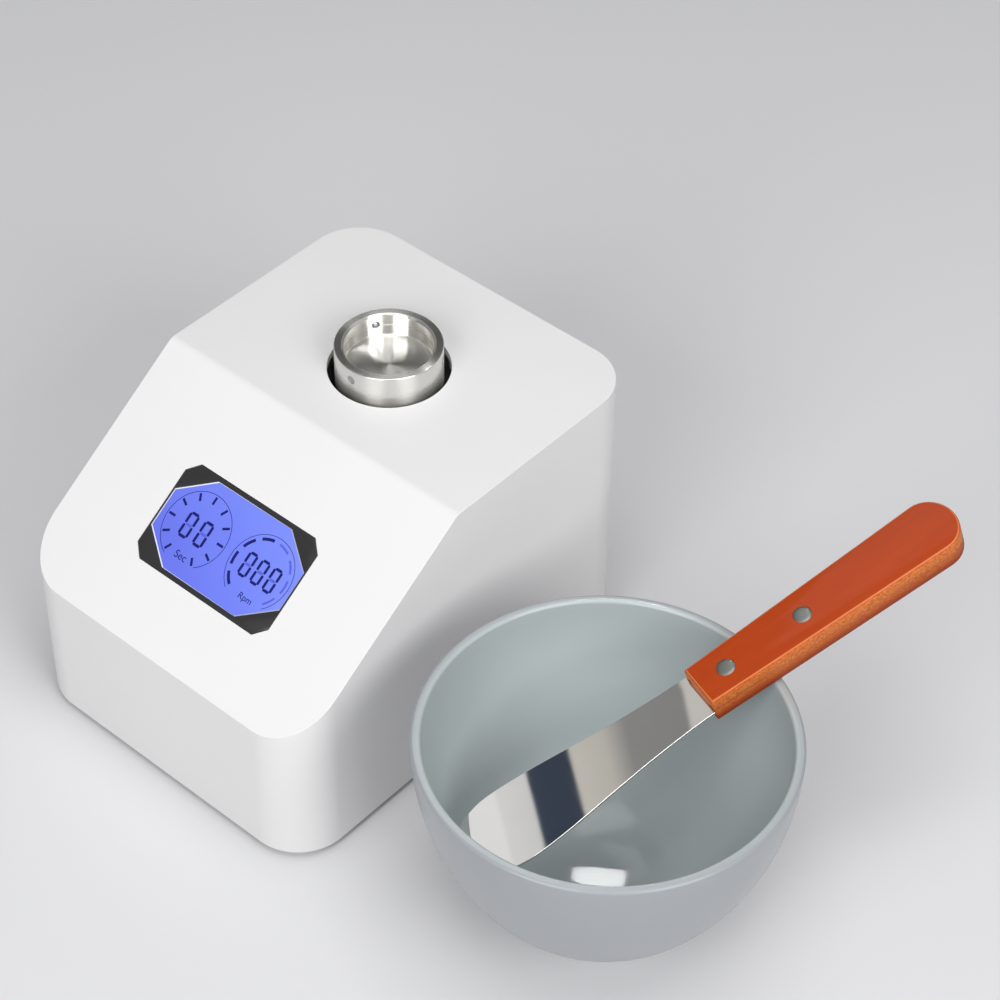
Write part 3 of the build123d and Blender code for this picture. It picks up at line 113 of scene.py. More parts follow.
class Finish:
    """One material's node tree, with its Principled shader."""

    def __init__(self, name, **sockets):
        self.material = bpy.data.materials.new(name)
        self.material.use_nodes = True
        self.tree = self.material.node_tree
        self.shader = next(n for n in self.tree.nodes if n.type == "BSDF_PRINCIPLED")
        self.set(**sockets)

    def add(self, kind, settings=None, inputs=None, out=0):
        """Adds a node and gives the output with this number or name."""
        node = self.tree.nodes.new(kind)
        for key, value in (settings or {}).items():
            if key == "stops":
                # new stops go in at the end, so that they keep their order
                ramp = node.color_ramp
                while len(ramp.elements) < len(value):
                    ramp.elements.new(1.0)
                for element, (place, colour) in zip(ramp.elements, value):
                    element.position = place
                    element.color = (*colour, 1)
            else:
                setattr(node, key, value)
        for key, value in (inputs or {}).items():
            self.feed(node.inputs[key], value)
        return Socket(self, node.outputs[out])

    def feed(self, socket, value):
        """Links a shader value to a socket, or sets a plain one; a colour has three parts."""
        if isinstance(value, Socket):
            self.tree.links.new(value.output, socket)
        elif hasattr(value, "__len__") and len(value) == 3 and socket.type == "RGBA":
            socket.default_value = (*value, 1)
        else:
            socket.default_value = value

    def set(self, **sockets):
        for key, value in sockets.items():
            self.feed(self.shader.inputs[key.replace("_", " ")], value)

    def place(self, location=(0, 0, 0), rotation=(0, 0, 0), scale=(1, 1, 1)):
        """Points of the piece in the row frame, moved to a pattern's own place."""
        points = self.add("ShaderNodeTexCoord", out="Object")
        return self.add(
            "ShaderNodeMapping", {"vector_type": "TEXTURE"},
            {"Vector": points, "Location": location, "Rotation": rotation, "Scale": scale})

    def noise(self, vector, scale, detail, roughness=0.5):
        return self.add(
            "ShaderNodeTexNoise", None,
            {"Vector": vector, "Scale": scale, "Detail": detail, "Roughness": roughness})

    def split(self, vector):
        node = self.tree.nodes.new("ShaderNodeSeparateXYZ")
        self.tree.links.new(vector.output, node.inputs[0])
        return [Socket(self, output) for output in node.outputs]

    def blend(self, factor, first, second):
        """Colour that goes from first to second as factor goes from nought to one."""
        node = self.tree.nodes.new("ShaderNodeMix")
        node.data_type = "RGBA"
        for socket, value in ((node.inputs[0], factor), (node.inputs[6], first), (node.inputs[7], second)):
            self.feed(socket, value)
        return Socket(self, node.outputs[2])

    def shade(self, factor, colour, depth):
        """Colour that goes from a darker share of itself to the whole, as factor goes up to one."""
        return self.blend(factor, [depth * value for value in colour], colour)

    def relief(self, height, depth, strength=1.0):
        """Small relief in metres, as a bumped normal."""
        self.set(Normal=self.add(
            "ShaderNodeBump", None, {"Height": height, "Distance": depth, "Strength": strength}))

    def coat(self, *pieces):
        """Gives the finish to these pieces in place of what they had."""
        for piece in pieces:
            piece.data.materials.clear()
            piece.data.materials.append(self.material)


def select_only(*pieces):
    """Leaves edit mode and selects these pieces alone, the first one active, or none at all."""
    if bpy.context.mode != "OBJECT":
        bpy.ops.object.mode_set(mode="OBJECT")
    bpy.ops.object.select_all(action="DESELECT")
    for piece in pieces:
        piece.select_set(True)
    if pieces:
        bpy.context.view_layer.objects.active = pieces[0]


def edit(piece):
    """Opens a piece in edit mode with all its vertices selected."""
    select_only(piece)
    bpy.ops.object.mode_set(mode="EDIT")
    bpy.ops.mesh.select_mode(type="VERT")
    bpy.ops.mesh.select_all(action="SELECT")


def close(piece):
    """Leaves edit mode with all seams merged and all faces outwards."""
    bpy.ops.mesh.select_all(action="SELECT")
    bpy.ops.mesh.remove_doubles(threshold=0.000002)
    bpy.ops.mesh.normals_make_consistent(inside=False)
    bpy.ops.object.mode_set(mode="OBJECT")
    return piece


def pick(piece, faces=None, edges=None):
    """Selects, in edit mode, only the faces or edges that a test names."""
    bpy.ops.mesh.select_all(action="DESELECT")
    bpy.ops.mesh.select_mode(type="FACE" if faces else "EDGE")
    mesh = bmesh.from_edit_mesh(piece.data)
    mesh.normal_update()
    for part in mesh.faces if faces else mesh.edges:
        if (faces or edges)(part):
            part.select_set(True)
    bmesh.update_edit_mesh(piece.data)


def apply_place():
    """Bakes the place of what is selected into its mesh and hands the active piece back."""
    bpy.ops.object.transform_apply(location=True, rotation=True, scale=True)
    return bpy.context.object


def sheet(size, at, turn=0.0):
    """A flat rectangle about a point, turned by degrees from the right."""
    select_only()
    bpy.ops.mesh.primitive_plane_add(size=1, location=at, rotation=(0, 0, math.radians(turn)))
    bpy.context.object.scale = (*size, 1)
    return apply_place()


def block(size, at):
    """A box about a point."""
    select_only()
    bpy.ops.mesh.primitive_cube_add(size=1, location=at)
    bpy.context.object.scale = size
    return apply_place()


def modify(piece, kind, **settings):
    """Adds one modifier and applies it."""
    select_only(piece)
    modifier = piece.modifiers.new(kind.lower(), kind)
    for key, value in settings.items():
        setattr(modifier, key, value)
    bpy.ops.object.modifier_apply(modifier=modifier.name)


def cut(piece, cutter):
    """Takes the cutter's form out of the piece and deletes the cutter."""
    modify(piece, "BOOLEAN", operation="DIFFERENCE", solver="EXACT", object=cutter)
    bpy.data.objects.remove(cutter)


def bore(piece, at, radius, depth, rotation=(0, 0, 0), vertices=48):
    """Cuts a round hole into a piece, upright unless it is turned."""
    select_only()
    bpy.ops.mesh.primitive_cylinder_add(
        vertices=vertices, radius=radius, depth=depth, location=at, rotation=rotation)
    cut(piece, bpy.context.object)


def smooth(piece, angle=35):
    """Shades a piece smooth, but for edges sharper than this angle in degrees."""
    select_only(piece)
    bpy.ops.object.shade_smooth_by_angle(angle=math.radians(angle))


def seat(piece, name, body, slot, *nodes):
    """Names a finished piece, bakes its place into its mesh and puts it on its body."""
    select_only(piece)
    apply_place()
    piece.name = name
    piece.data.name = name
    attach(piece, body)
    if nodes:
        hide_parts(*nodes)


def centre_of(node):
    """The middle of a CAD node's box."""
    corner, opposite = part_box(node)
    return (corner + opposite) / 2


low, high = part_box("housing")
housing_middle = centre_of("housing")
half_width, half_depth = (high.x - low.x) / 2, (high.y - low.y) / 2
housing_wall = 0.003
corner_radius = 0.0205
front_top = low.z + 0.059
slope_run = 0.0825
slope_angle = math.atan2(high.z - front_top, slope_run)
crease_radius = 0.00155
spindle_at = centre_of("spindle")
near = 0.0002

housing = sheet((high.x - low.x, high.y - low.y), (housing_middle.x, housing_middle.y, low.z))
edit(housing)
bpy.ops.mesh.bevel(offset=corner_radius, segments=24, affect="VERTICES")
bpy.ops.mesh.extrude_region_move(TRANSFORM_OT_translate={"value": (0, 0, high.z - low.z)})
bpy.ops.mesh.select_all(action="SELECT")
bpy.ops.mesh.bisect(
    plane_co=(0, low.y, front_top), plane_no=(0, -math.sin(slope_angle), math.cos(slope_angle)),
    use_fill=True, clear_outer=True)
bpy.ops.mesh.normals_make_consistent(inside=False)
# the crease between the slope and the top
pick(housing, edges=lambda edge: edge.calc_length() > 1.8 * half_width and all(
    abs(v.co.z - high.z) < near and abs(v.co.y - low.y - slope_run) < near for v in edge.verts))
bpy.ops.mesh.bevel(offset=crease_radius, segments=8, affect="EDGES")
# the shell has no floor of its own
pick(housing, faces=lambda face: face.normal.z < -0.9)
bpy.ops.mesh.delete(type="FACE")
modify(housing, "SOLIDIFY", thickness=housing_wall, offset=-1, use_even_offset=True, use_quality_normals=True)

# openings: the chuck, the display, the mains inlet, the switch, the vents and the side controls
through = 0.02
bore(housing, (spindle_at.x, spindle_at.y, high.z), 0.0226, through, vertices=128)
display_up = 0.0471
slope_up = Vector((0, math.cos(slope_angle), math.sin(slope_angle)))
display_at = Vector((housing_middle.x, low.y, front_top)) + slope_up * display_up
display_place = Matrix.Translation(display_at) @ Matrix.Rotation(slope_angle, 4, "X")


def octagon(width, height, cut_x, cut_y, bottom, top):
    """A block with its upright corners cut off, drawn flat at the origin."""
    piece = block((width, height, top - bottom), (0, 0, (bottom + top) / 2))
    edit(piece)
    lean = math.atan2(cut_x, cut_y)
    for side_x in (-1, 1):
        for side_y in (-1, 1):
            bpy.ops.mesh.select_all(action="SELECT")
            bpy.ops.mesh.bisect(
                plane_co=(side_x * width / 2, side_y * (height / 2 - cut_y), 0),
                plane_no=(side_x * math.cos(lean), side_y * math.sin(lean), 0),
                use_fill=True, clear_outer=True)
    return close(piece)


frame_width, frame_height, frame_cut, frame_play = 0.0653, 0.0399, 0.0047, 0.0003
display_hole = octagon(
    frame_width + frame_play, frame_height + frame_play, frame_cut, frame_cut, -through, through)
display_hole.matrix_world = display_place
cut(housing, display_hole)

flange_overlap = 0.0021
for node in ("mains_inlet", "switch_body"):
    flange_low, flange_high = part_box(node)
    cut(housing, block(
        (flange_high.x - flange_low.x - 2 * flange_overlap, through,
         flange_high.z - flange_low.z - 2 * flange_overlap),
        (centre_of(node).x, high.y, centre_of(node).z)))
vent_count, vent_pitch, vent_width, vent_height, vent_level = 7, 0.006, 0.0026, 0.026, 0.084
for vent in range(vent_count):
    vent_x = housing_middle.x + (vent - vent_count // 2) * vent_pitch
    vent_cutter = block((vent_width, through, vent_height), (vent_x, high.y, vent_level))
    edit(vent_cutter)
    pick(vent_cutter, edges=lambda edge: abs(edge.verts[0].co.y - edge.verts[1].co.y) > through / 2)
    bpy.ops.mesh.bevel(offset=vent_width / 2 - 0.00001, segments=6, affect="EDGES")
    cut(housing, vent_cutter)
for node, radius in (("speed_knob", 0.00415), ("time_knob", 0.00415), ("start_button", 0.007)):
    bore(housing, (low.x, centre_of(node).y, centre_of(node).z), radius, through, (0, math.pi / 2, 0))

# rounded rims: wide round the top and the slope, small round the openings and the foot
outer_rim, opening_share, foot_share = 0.0019, 0.2, 0.25
edit(housing)
mesh = bmesh.from_edit_mesh(housing.data)
mesh.normal_update()
layers = mesh.edges.layers.float
weight_layer = layers.get("bevel_weight_edge") or layers.new("bevel_weight_edge")
for edge in mesh.edges:
    if len(edge.link_faces) != 2 or edge.calc_face_angle() < math.radians(20):
        continue
    middle = (edge.verts[0].co + edge.verts[1].co) / 2
    from_axis = math.hypot(middle.x - spindle_at.x, middle.y - spindle_at.y)
    local = display_place.inverted() @ middle
    on_slope = abs(local.z) < near
    on_top = abs(middle.z - high.z) < near
    side_gap = half_width - abs(middle.x - housing_middle.x)
    end_gap = half_depth - abs(middle.y - housing_middle.y)
    round_corner = math.hypot(max(corner_radius - side_gap, 0), max(corner_radius - end_gap, 0))
    if on_top and from_axis < 0.024 or on_slope and abs(local.x) < 0.034 and abs(local.y) < 0.021:
        edge[weight_layer] = opening_share
    elif (on_top or on_slope or middle.z > front_top - near) and (
            min(side_gap, end_gap) < 0.0003 or round_corner > corner_radius - 0.0005):
        edge[weight_layer] = 1.0
    elif middle.z < low.z + near:
        edge[weight_layer] = foot_share
bmesh.update_edit_mesh(housing.data)
modify(housing, "BEVEL", width=outer_rim, segments=5, limit_method="WEIGHT", harden_normals=True,
       use_clamp_overlap=True)
smooth(housing)
modify(housing, "WEIGHTED_NORMAL", keep_sharp=True, weight=80)
seat(housing, "housing_shell", "machine", "housing_plastic", "housing")

housing_plastic = Finish("housing_plastic")
mould = housing_plastic.place()
orange_peel = housing_plastic.noise(mould, 900, 2)
drift = housing_plastic.noise(mould, 18, 2)
housing_plastic.set(
    Base_Color=housing_plastic.blend(drift, (0.785, 0.782, 0.785), (0.815, 0.81, 0.812)),
    Roughness=0.34 + 0.1 * orange_peel)
housing_plastic.relief(orange_peel, 0.00002, 0.35)
housing_plastic.coat(housing)

# ---------------------------------------------------------------- chuck
# A cup turned from aluminium bar, on a hub that two grub screws clamp to the spindle.
# The bowl's stub drops into it, and three spring plungers in its wall hold the stub.
mm = 0.001


def arc(middle, radius, start, end, steps):
    """Points of a round stretch of a profile, with its angles in degrees."""
    turns = [math.radians(start + (end - start) * step / steps) for step in range(steps + 1)]
    return [(middle[0] + radius * math.cos(turn), middle[1] + radius * math.sin(turn)) for turn in turns]


def chain(points, at=(0, 0, 0)):
    """One vertex drawn out through points in millimetres; the piece stays in edit mode."""
    select_only()
    bpy.ops.mesh.primitive_plane_add(size=0.01, location=at)
    piece = bpy.context.object
    edit(piece)
    bpy.ops.mesh.merge(type="CENTER")
    places = [Vector(point) * mm for point in points]
    bpy.ops.transform.translate(value=places[0])
    for start, end in zip(places, places[1:]):
        bpy.ops.mesh.extrude_vertices_move(TRANSFORM_OT_translate={"value": end - start})
    return piece


def turned(profile, at, steps):
    """A profile of radii and heights in millimetres, spun round the upright line through at."""
    piece = chain([(radius, 0, height) for radius, height in profile], at)
    bpy.ops.mesh.select_all(action="SELECT")
    bpy.ops.mesh.spin(steps=steps, angle=math.tau, center=at, axis=(0, 0, 1))
    return close(piece)


chuck_rim = Vector((spindle_at.x, spindle_at.y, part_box("chuck_cup")[1].z))
chuck_bore, bore_depth, bore_round = 16.3, 9.3, 0.4
chuck_outside, cup_height = 19.8, 16.5
hub_outside, hub_bore, hub_height, cup_floor = 12, 6, 32.5, 3.6
chuck_profile = [
    (0, -bore_depth), *arc((chuck_bore - bore_round, bore_round - bore_depth), bore_round, -90, 0, 4),
    (chuck_bore, -5.0), (chuck_bore + 0.12, -4.9), (chuck_bore + 0.12, -4.75), (chuck_bore, -4.65),
    (chuck_bore, -0.85), (chuck_bore + 0.7, -0.1), (chuck_bore + 0.85, 0),
    (chuck_outside - 0.5, 0), *arc((chuck_outside - 0.4, -0.4), 0.4, 90, 0, 4),
    (chuck_outside, 0.5 - cup_height), (chuck_outside - 0.5, -cup_height),
    (hub_outside, -cup_height), (hub_outside, -hub_height), (hub_bore, -hub_height),
    (hub_bore, -bore_depth - cup_floor), (0, -bore_depth - cup_floor)]
chuck_cup = turned(chuck_profile, chuck_rim, 128)
plunger_radius, plunger_reach, plunger_level = 1.67, 18, 4.4
for plunger in range(3):
    turn = math.radians(30 + 120 * plunger)
    outwards = Vector((math.cos(turn), math.sin(turn), 0))
    bore(chuck_cup, chuck_rim + outwards * plunger_reach * mm - Vector((0, 0, plunger_level * mm)),
         plunger_radius * mm, 6 * mm, (math.pi / 2, 0, turn + math.pi / 2), 32)
smooth(chuck_cup, 30)
seat(chuck_cup, "chuck_cup_turned", "chuck", "chuck_aluminium", "chuck_cup")


def turned_metal(name, middle, colour, roughness, anisotropy, line_depth=0.0000015):
    """Lathe-turned metal: fine rings round an upright axis and a highlight drawn across them."""
    finish = Finish(name, Metallic=1.0, Anisotropic=anisotropy, Anisotropic_Rotation=0.25)
    points = finish.place(middle)
    across, along, up = finish.split(points)
    radius = (across * across + along * along) ** 0.5
    rings = finish.add(
        "ShaderNodeTexNoise", {"noise_dimensions": "1D"},
        {"W": (radius + up) * 9000, "Scale": 1, "Detail": 2})
    stain = finish.noise(points, 160, 3)
    finish.set(
        Base_Color=finish.shade(rings * 0.5 + stain * 0.5, colour, 0.86),
        Roughness=roughness + 0.12 * rings)
    finish.relief(rings, line_depth, 0.5)
    return finish


chuck_metal = turned_metal("chuck_metal", chuck_rim, (0.84, 0.83, 0.79), 0.16, 0.9, 0.0000003)
# the wall of the bore is cut finer than the rim and the outside, and than the bore's floor
chuck_x, chuck_y, chuck_z = chuck_metal.split(chuck_metal.place(chuck_rim))
chuck_reach = (chuck_x * chuck_x + chuck_y * chuck_y) ** 0.5
outside_bore = chuck_reach.within((chuck_bore + 0.2) * mm, (chuck_bore + 0.7) * mm)
on_floor = chuck_z < (0.7 - bore_depth) * mm
chuck_metal.set(Roughness=(
    0.15 + 0.09 * outside_bore + 0.12 * on_floor + 0.04 * chuck_metal.noise(chuck_metal.place(), 300, 2)))
chuck_metal.coat(chuck_cup)


# ---------------------------------------------------------------- plungers and screws
# Three spring plungers are pressed into the chuck's wall, each a steel sleeve with a
# polished ball. All screws are zinc-plated steel, and the grub screws are black oxide.
def dress(finish, *names):
    """Gives a finish to CAD nodes that keep their own mesh."""
    finish.coat(*[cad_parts[name] for name in names])


def ground_steel(name, colour, roughness, grain=700):
    """Steel with a fine ground or rolled surface and faint stains."""
    finish = Finish(name, Metallic=1.0)
    points = finish.place()
    lines = finish.noise(finish.place(scale=(1, 1, 8)), grain, 2)
    stain = finish.noise(points, 90, 4)
    finish.set(Base_Color=finish.shade(stain, colour, 0.8), Roughness=roughness + 0.15 * lines)
    finish.relief(lines, 0.000004, 0.4)
    return finish


dress(ground_steel("plunger_steel", (0.42, 0.42, 0.43), 0.3), "plunger_sleeves")
dress(ground_steel("ball_steel", (0.75, 0.75, 0.76), 0.08, 2000),
      "plunger_ball_1", "plunger_ball_2", "plunger_ball_3")
dress(ground_steel("zinc_plate", (0.62, 0.63, 0.66), 0.28),
      "foot_screws", "base_screws", "deck_screws", "cartridge_screws", "motor_screws", "display_screws",
      "stub_screw")
dress(ground_steel("black_oxide", (0.09, 0.09, 0.1), 0.4), "grub_screws", "spindle_circlip")

# ---------------------------------------------------------------- spindle and bearings
# The chuck's spindle is ground steel and runs in two sealed ball bearings, held in a
# flanged aluminium cartridge that is screwed to the drive deck.
dress(ground_steel("spindle_steel", (0.6, 0.6, 0.62), 0.15, 1500), "spindle", "motor_shaft")
dress(ground_steel("bearing_steel", (0.66, 0.67, 0.7), 0.18, 1500), "bearing_outer_rings",
      "bearing_inner_rings")
dress(turned_metal("cartridge_metal", chuck_rim, (0.62, 0.63, 0.66), 0.3, 0.4), "bearing_cartridge")


# ---------------------------------------------------------------- deck
# The drive stands on a plate of brushed aluminium, carried by four hexagonal brass
# pillars that are screwed to the base plate.
def brushed_metal(name, colour, roughness, direction):
    """Sheet metal brushed along one axis: lines that are long in that direction."""
    finish = Finish(name, Metallic=1.0)
    stretch = [30 if axis == direction else 1 for axis in range(3)]
    lines = finish.noise(finish.place(scale=stretch), 1800, 2)
    cloud = finish.noise(finish.place(), 40, 3)
    finish.set(
        Base_Color=finish.shade(cloud * 0.5 + lines * 0.5, colour, 0.82),
        Roughness=roughness + 0.2 * lines)
    finish.relief(lines, 0.000004, 0.35)
    return finish


dress(brushed_metal("deck_aluminium", (0.68, 0.69, 0.71), 0.3, 1), "deck_plate")
dress(brushed_metal("pillar_brass", (0.72, 0.56, 0.26), 0.25, 2), "deck_pillars")

# ---------------------------------------------------------------- pulleys and belt
# The motor drives the spindle through a ribbed rubber belt on two grooved aluminium
# pulleys, the large one on the spindle and the small one on the motor's shaft.
pulley_grey = (0.66, 0.67, 0.69)
dress(turned_metal("pulley_metal", chuck_rim, pulley_grey, 0.28, 0.4), "spindle_pulley")
motor_at = centre_of("motor_shaft")
dress(turned_metal("small_pulley_metal", motor_at, pulley_grey, 0.28, 0.4), "motor_pulley")


def moulded(name, colour, roughness, grain=1400, depth=0.000012):
    """Plastic or rubber from a mould: a fine even texture with slight drifts of colour."""
    finish = Finish(name)
    points = finish.place()
    texture = finish.noise(points, grain, 2)
    drift = finish.noise(points, 45, 3)
    finish.set(Base_Color=finish.shade(drift, colour, 0.85), Roughness=roughness + 0.12 * texture)
    finish.relief(texture, depth, 0.5)
    return finish


dress(moulded("belt_rubber", (0.022, 0.022, 0.023), 0.6), "drive_belt")

# ---------------------------------------------------------------- motor
# A permanent-magnet motor hangs the right way up on the deck: a drawn steel can with
# a steel cap, two ferrite magnets, and a slotted rotor of varnished iron on its shaft.
dress(turned_metal("motor_steel", motor_at, (0.4, 0.41, 0.43), 0.35, 0.3), "motor_can", "motor_cap")
dress(moulded("magnet_ferrite", (0.035, 0.035, 0.038), 0.5, 900, 0.00003), "motor_magnets")
dress(brushed_metal("rotor_iron", (0.24, 0.22, 0.2), 0.35, 2), "motor_rotor")


# ---------------------------------------------------------------- boards
# The supply board and the control board stand upright at the sides, on lugs of the
# base plate. They are green glass-fibre boards with black and metal parts.
def board_finish(name, rotation):
    """Solder mask over copper: straight tracks show as slightly lighter bands."""
    finish = Finish(name, Coat_Weight=0.4, Coat_Roughness=0.15)
    tracks = finish.add(
        "ShaderNodeTexBrick", {"offset": 0.37, "squash": 1.0},
        {"Vector": finish.place(rotation=rotation), "Scale": 260, "Mortar Size": 0.03, "Brick Width": 0.9,
         "Row Height": 0.35, "Color1": (0, 0, 0), "Color2": (1, 1, 1), "Mortar": (0.5, 0.5, 0.5)},
        out="Fac")
    weave = finish.noise(finish.place(), 1500, 2)
    finish.set(
        Base_Color=finish.blend(tracks * 0.5 + weave * 0.3, (0.012, 0.085, 0.035), (0.03, 0.19, 0.08)),
        Roughness=0.35 + 0.1 * weave)
    finish.relief(tracks, 0.00003, 0.4)
    return finish


dress(board_finish("upright_board", (0, math.pi / 2, 0)), "supply_board", "control_board")
dress(board_finish("sloping_board", (slope_angle, 0, 0)), "display_board")
dress(brushed_metal("core_steel", (0.3, 0.27, 0.24), 0.4, 0), "supply_transformer")
dress(moulded("capacitor_sleeve", (0.03, 0.035, 0.08), 0.25), "supply_capacitors")
dress(brushed_metal("heatsink_metal", (0.12, 0.12, 0.125), 0.4, 2), "supply_heatsink")
component_black = moulded("component_black", (0.025, 0.025, 0.026), 0.45)
dress(component_black, "control_parts")
dress(moulded("guide_white", (0.8, 0.82, 0.85), 0.4), "light_guide")

# ---------------------------------------------------------------- display frame
# A gloss black frame with cut corners, moulded to lie flush in the sloping face and
# screwed to it from inside by the rim behind the wall.
frame_margin = 0.0083
frame_piece = octagon(frame_width, frame_height, frame_cut, frame_cut, -housing_wall, 0)
frame_rim = octagon(
    frame_width + frame_margin, frame_height + frame_margin, 0.001, 0.001, -0.0046, 0.0001 - housing_wall)
modify(frame_piece, "BOOLEAN", operation="UNION", solver="EXACT", object=frame_rim)
bpy.data.objects.remove(frame_rim)
lit_width, lit_height, lit_cut_x, lit_cut_y = 0.0640, 0.0364, 0.0138, 0.0104
cut(frame_piece, octagon(lit_width, lit_height, lit_cut_x, lit_cut_y, -0.01, 0.01))


def ease(piece, width, segments, angle=40):
    """Rounds every edge that is sharper than this angle in degrees."""
    modify(piece, "BEVEL", width=width, segments=segments, limit_method="ANGLE",
           angle_limit=math.radians(angle))


ease(frame_piece, 0.00018, 3)
smooth(frame_piece)
frame_piece.matrix_world = display_place
seat(frame_piece, "display_surround", "machine", "frame_black", "display_frame")
moulded("frame_black", (0.03, 0.03, 0.031), 0.16, 2200, 0.000004).coat(frame_piece)

# ---------------------------------------------------------------- display glass
# The liquid crystal glass lies just below the frame's face. A white light guide behind
# it makes it glow blue, and its cut edge shows as a thin bright line all round.
glass_top, glass_bottom = -0.00025, -0.00265
glass_piece = octagon(lit_width - 0.0002, lit_height - 0.0002, lit_cut_x, lit_cut_y, glass_bottom, glass_top)
ease(glass_piece, 0.00012, 2)
smooth(glass_piece)
glass_piece.matrix_world = display_place
seat(glass_piece, "lcd_glass_lit", "machine", "display_blue", "lcd_glass")
lit_blue = Finish("lit_blue", Roughness=0.35, Specular_IOR_Level=0.25, Emission_Strength=0.78)
lit_points = lit_blue.place(display_at, (slope_angle, 0, 0))
lit_x, lit_y = lit_blue.split(lit_points)[:2]
glow = lit_blue.noise(lit_points, 40, 2) * 0.35 + (lit_x * 9 + lit_y * 12 + 0.45)
lit_blue.set(
    Base_Color=lit_blue.blend(glow, (0.03, 0.036, 0.16), (0.04, 0.05, 0.19)),
    Emission_Color=lit_blue.blend(glow, (0.135, 0.165, 0.88), (0.21, 0.29, 1.0)))
lit_blue.coat(glass_piece)

edge_piece = octagon(
    lit_width - 0.0001, lit_height - 0.0001, lit_cut_x, lit_cut_y, -0.0006, glass_top + 0.00005)
edge_inside = octagon(
    lit_width - 0.0005, lit_height - 0.0004, lit_cut_x + 0.00027, lit_cut_y + 0.0002, -0.01, 0.01)
edge_inside.location.x = 0.0001
cut(edge_piece, edge_inside)
edge_piece.matrix_world = display_place
seat(edge_piece, "lcd_glass_edge", "machine", "display_blue")
edge_white = Finish("edge_white")
edge_x = edge_white.split(edge_white.place(display_at, (slope_angle, 0, 0)))[0]
chips = edge_white.noise(edge_white.place(), 900, 2)
edge_shadow = edge_x.within(-0.02, 0.015) * 0.8 + chips * 0.2
edge_white.set(
    Base_Color=edge_white.blend(edge_shadow, (0.84, 0.85, 0.92), (0.36, 0.38, 0.52)),
    Roughness=0.25 + 0.1 * chips)
edge_white.coat(edge_piece)

# ---------------------------------------------------------------- display marks
# The marks are the dark cells of the liquid crystal: a dial with ticks for seconds, a
# dial with dashes for turns a minute, seven-segment noughts and the two units.
mark_thickness = 0.00004
marks = []


def bar(x, y, length, width, turn, point=0.0):
    """A flat stroke about (x, y) in millimetres, its length turned by degrees from the right."""
    stroke = sheet((length * mm, width * mm), (x * mm, y * mm, 0), turn)
    if point:
        edit(stroke)
        bpy.ops.mesh.bevel(offset=point * mm, segments=1, affect="VERTICES")
        bpy.ops.object.mode_set(mode="OBJECT")
    marks.append(stroke)


def ring(x, y, radius, width, start, end):
    """A flat band round (x, y), from one angle to another in degrees."""
    turn = math.radians(start)
    out = Vector((math.cos(turn), math.sin(turn), 0))
    middle = Vector((x, y, 0))
    band = chain([middle + out * (radius - width / 2), middle + out * (radius + width / 2)])
    bpy.ops.mesh.select_all(action="SELECT")
    steps = max(3, round(abs(end - start) / 4))
    bpy.ops.mesh.spin(steps=steps, angle=math.radians(start - end), center=middle * mm, axis=(0, 0, 1))
    marks.append(close(band))


def nought(x, y, width, height, stroke, dark=True):
    """One seven-segment nought; its middle segment is off, and only that is drawn when not dark."""
    reach, rise = (width - stroke) / 2, (height - stroke) / 2
    if not dark:
        bar(x, y, width - 1.6 * stroke, stroke, 0, stroke * 0.45)
        return
    for side in (-1, 1):
        bar(x, y + side * rise, width - 1.3 * stroke, stroke, 0, stroke * 0.4)
        for end in (-1, 1):
            bar(x + side * reach, y + end * rise / 2, rise - 0.35 * stroke, stroke, 90, stroke * 0.4)


def unit(text, x, y, size):
    """A word in plain letters about (x, y) in millimetres."""
    select_only()
    bpy.ops.object.text_add(location=(x * mm, y * mm, 0))
    word = bpy.context.object
    word.data.body = text
    word.data.size = size * mm
    word.data.align_x = "CENTER"
    word.data.align_y = "CENTER"
    bpy.ops.object.convert(target="MESH")
    marks.append(apply_place())


def dashes(first, end, width):
    """Dashes of the turns dial, counted clockwise from its lower left."""
    for dash in range(first, end):
        ring(*turns_dial, 12.0, width, 207 - 36.3 * dash, 231 - 36.3 * dash)


def finish_marks(name, height):
    """Joins the marks drawn so far, gives them thickness and lays them on the glass."""
    select_only(*marks)
    bpy.ops.object.join()
    joined = bpy.context.object
    modify(joined, "SOLIDIFY", thickness=mark_thickness, offset=1)
    joined.matrix_world = display_place @ Matrix.Translation((0, 0, glass_top + height))
    seat(joined, name, "machine", "display_blue")
    marks.clear()
    return joined


seconds_dial = (-15.0, -0.4)
turns_dial = (16.6, -0.5)
seconds_digits = [(x, -0.55, 4.8, 10.1, 1.1) for x in (-18.55, -11.3)]
turns_digits = [(x, -0.6, 4.4, 9.7, 1.05) for x in (11.0, 17.0, 23.0)]
tick_reach, tick_length, tick_width = 12.0, 3.0, 0.95
ring(*seconds_dial, 14.2, 0.22, -56, 246)
for tick in range(12):
    turn = math.radians(30 * tick)
    if tick != 9:
        bar(seconds_dial[0] + tick_reach * math.cos(turn), seconds_dial[1] + tick_reach * math.sin(turn),
            tick_length, tick_width, 30 * tick)
ring(*turns_dial, 13.7, 0.2, -50, 233)
dashes(0, 4, 1.15)
for digit in seconds_digits + turns_digits:
    nought(*digit)
unit("Sec", -14.2, -11.3, 4.1)
unit("Rpm", 17.7, -11.0, 3.4)
lcd_marks = finish_marks("lcd_marks", 0.00002)
dashes(4, 8, 0.8)
for digit in seconds_digits + turns_digits:
    nought(*digit, dark=False)
lcd_ghosts = finish_marks("lcd_ghosts", 0.00001)


def crystal(name, colour, light):
    """Liquid crystal that lets little of the blue light through."""
    finish = Finish(name, Roughness=0.35, Specular_IOR_Level=0.15, Emission_Strength=0.78)
    grain = finish.noise(finish.place(), 600, 2)
    finish.set(Base_Color=finish.shade(grain, colour, 0.8), Emission_Color=finish.shade(grain, light, 0.8))
    return finish


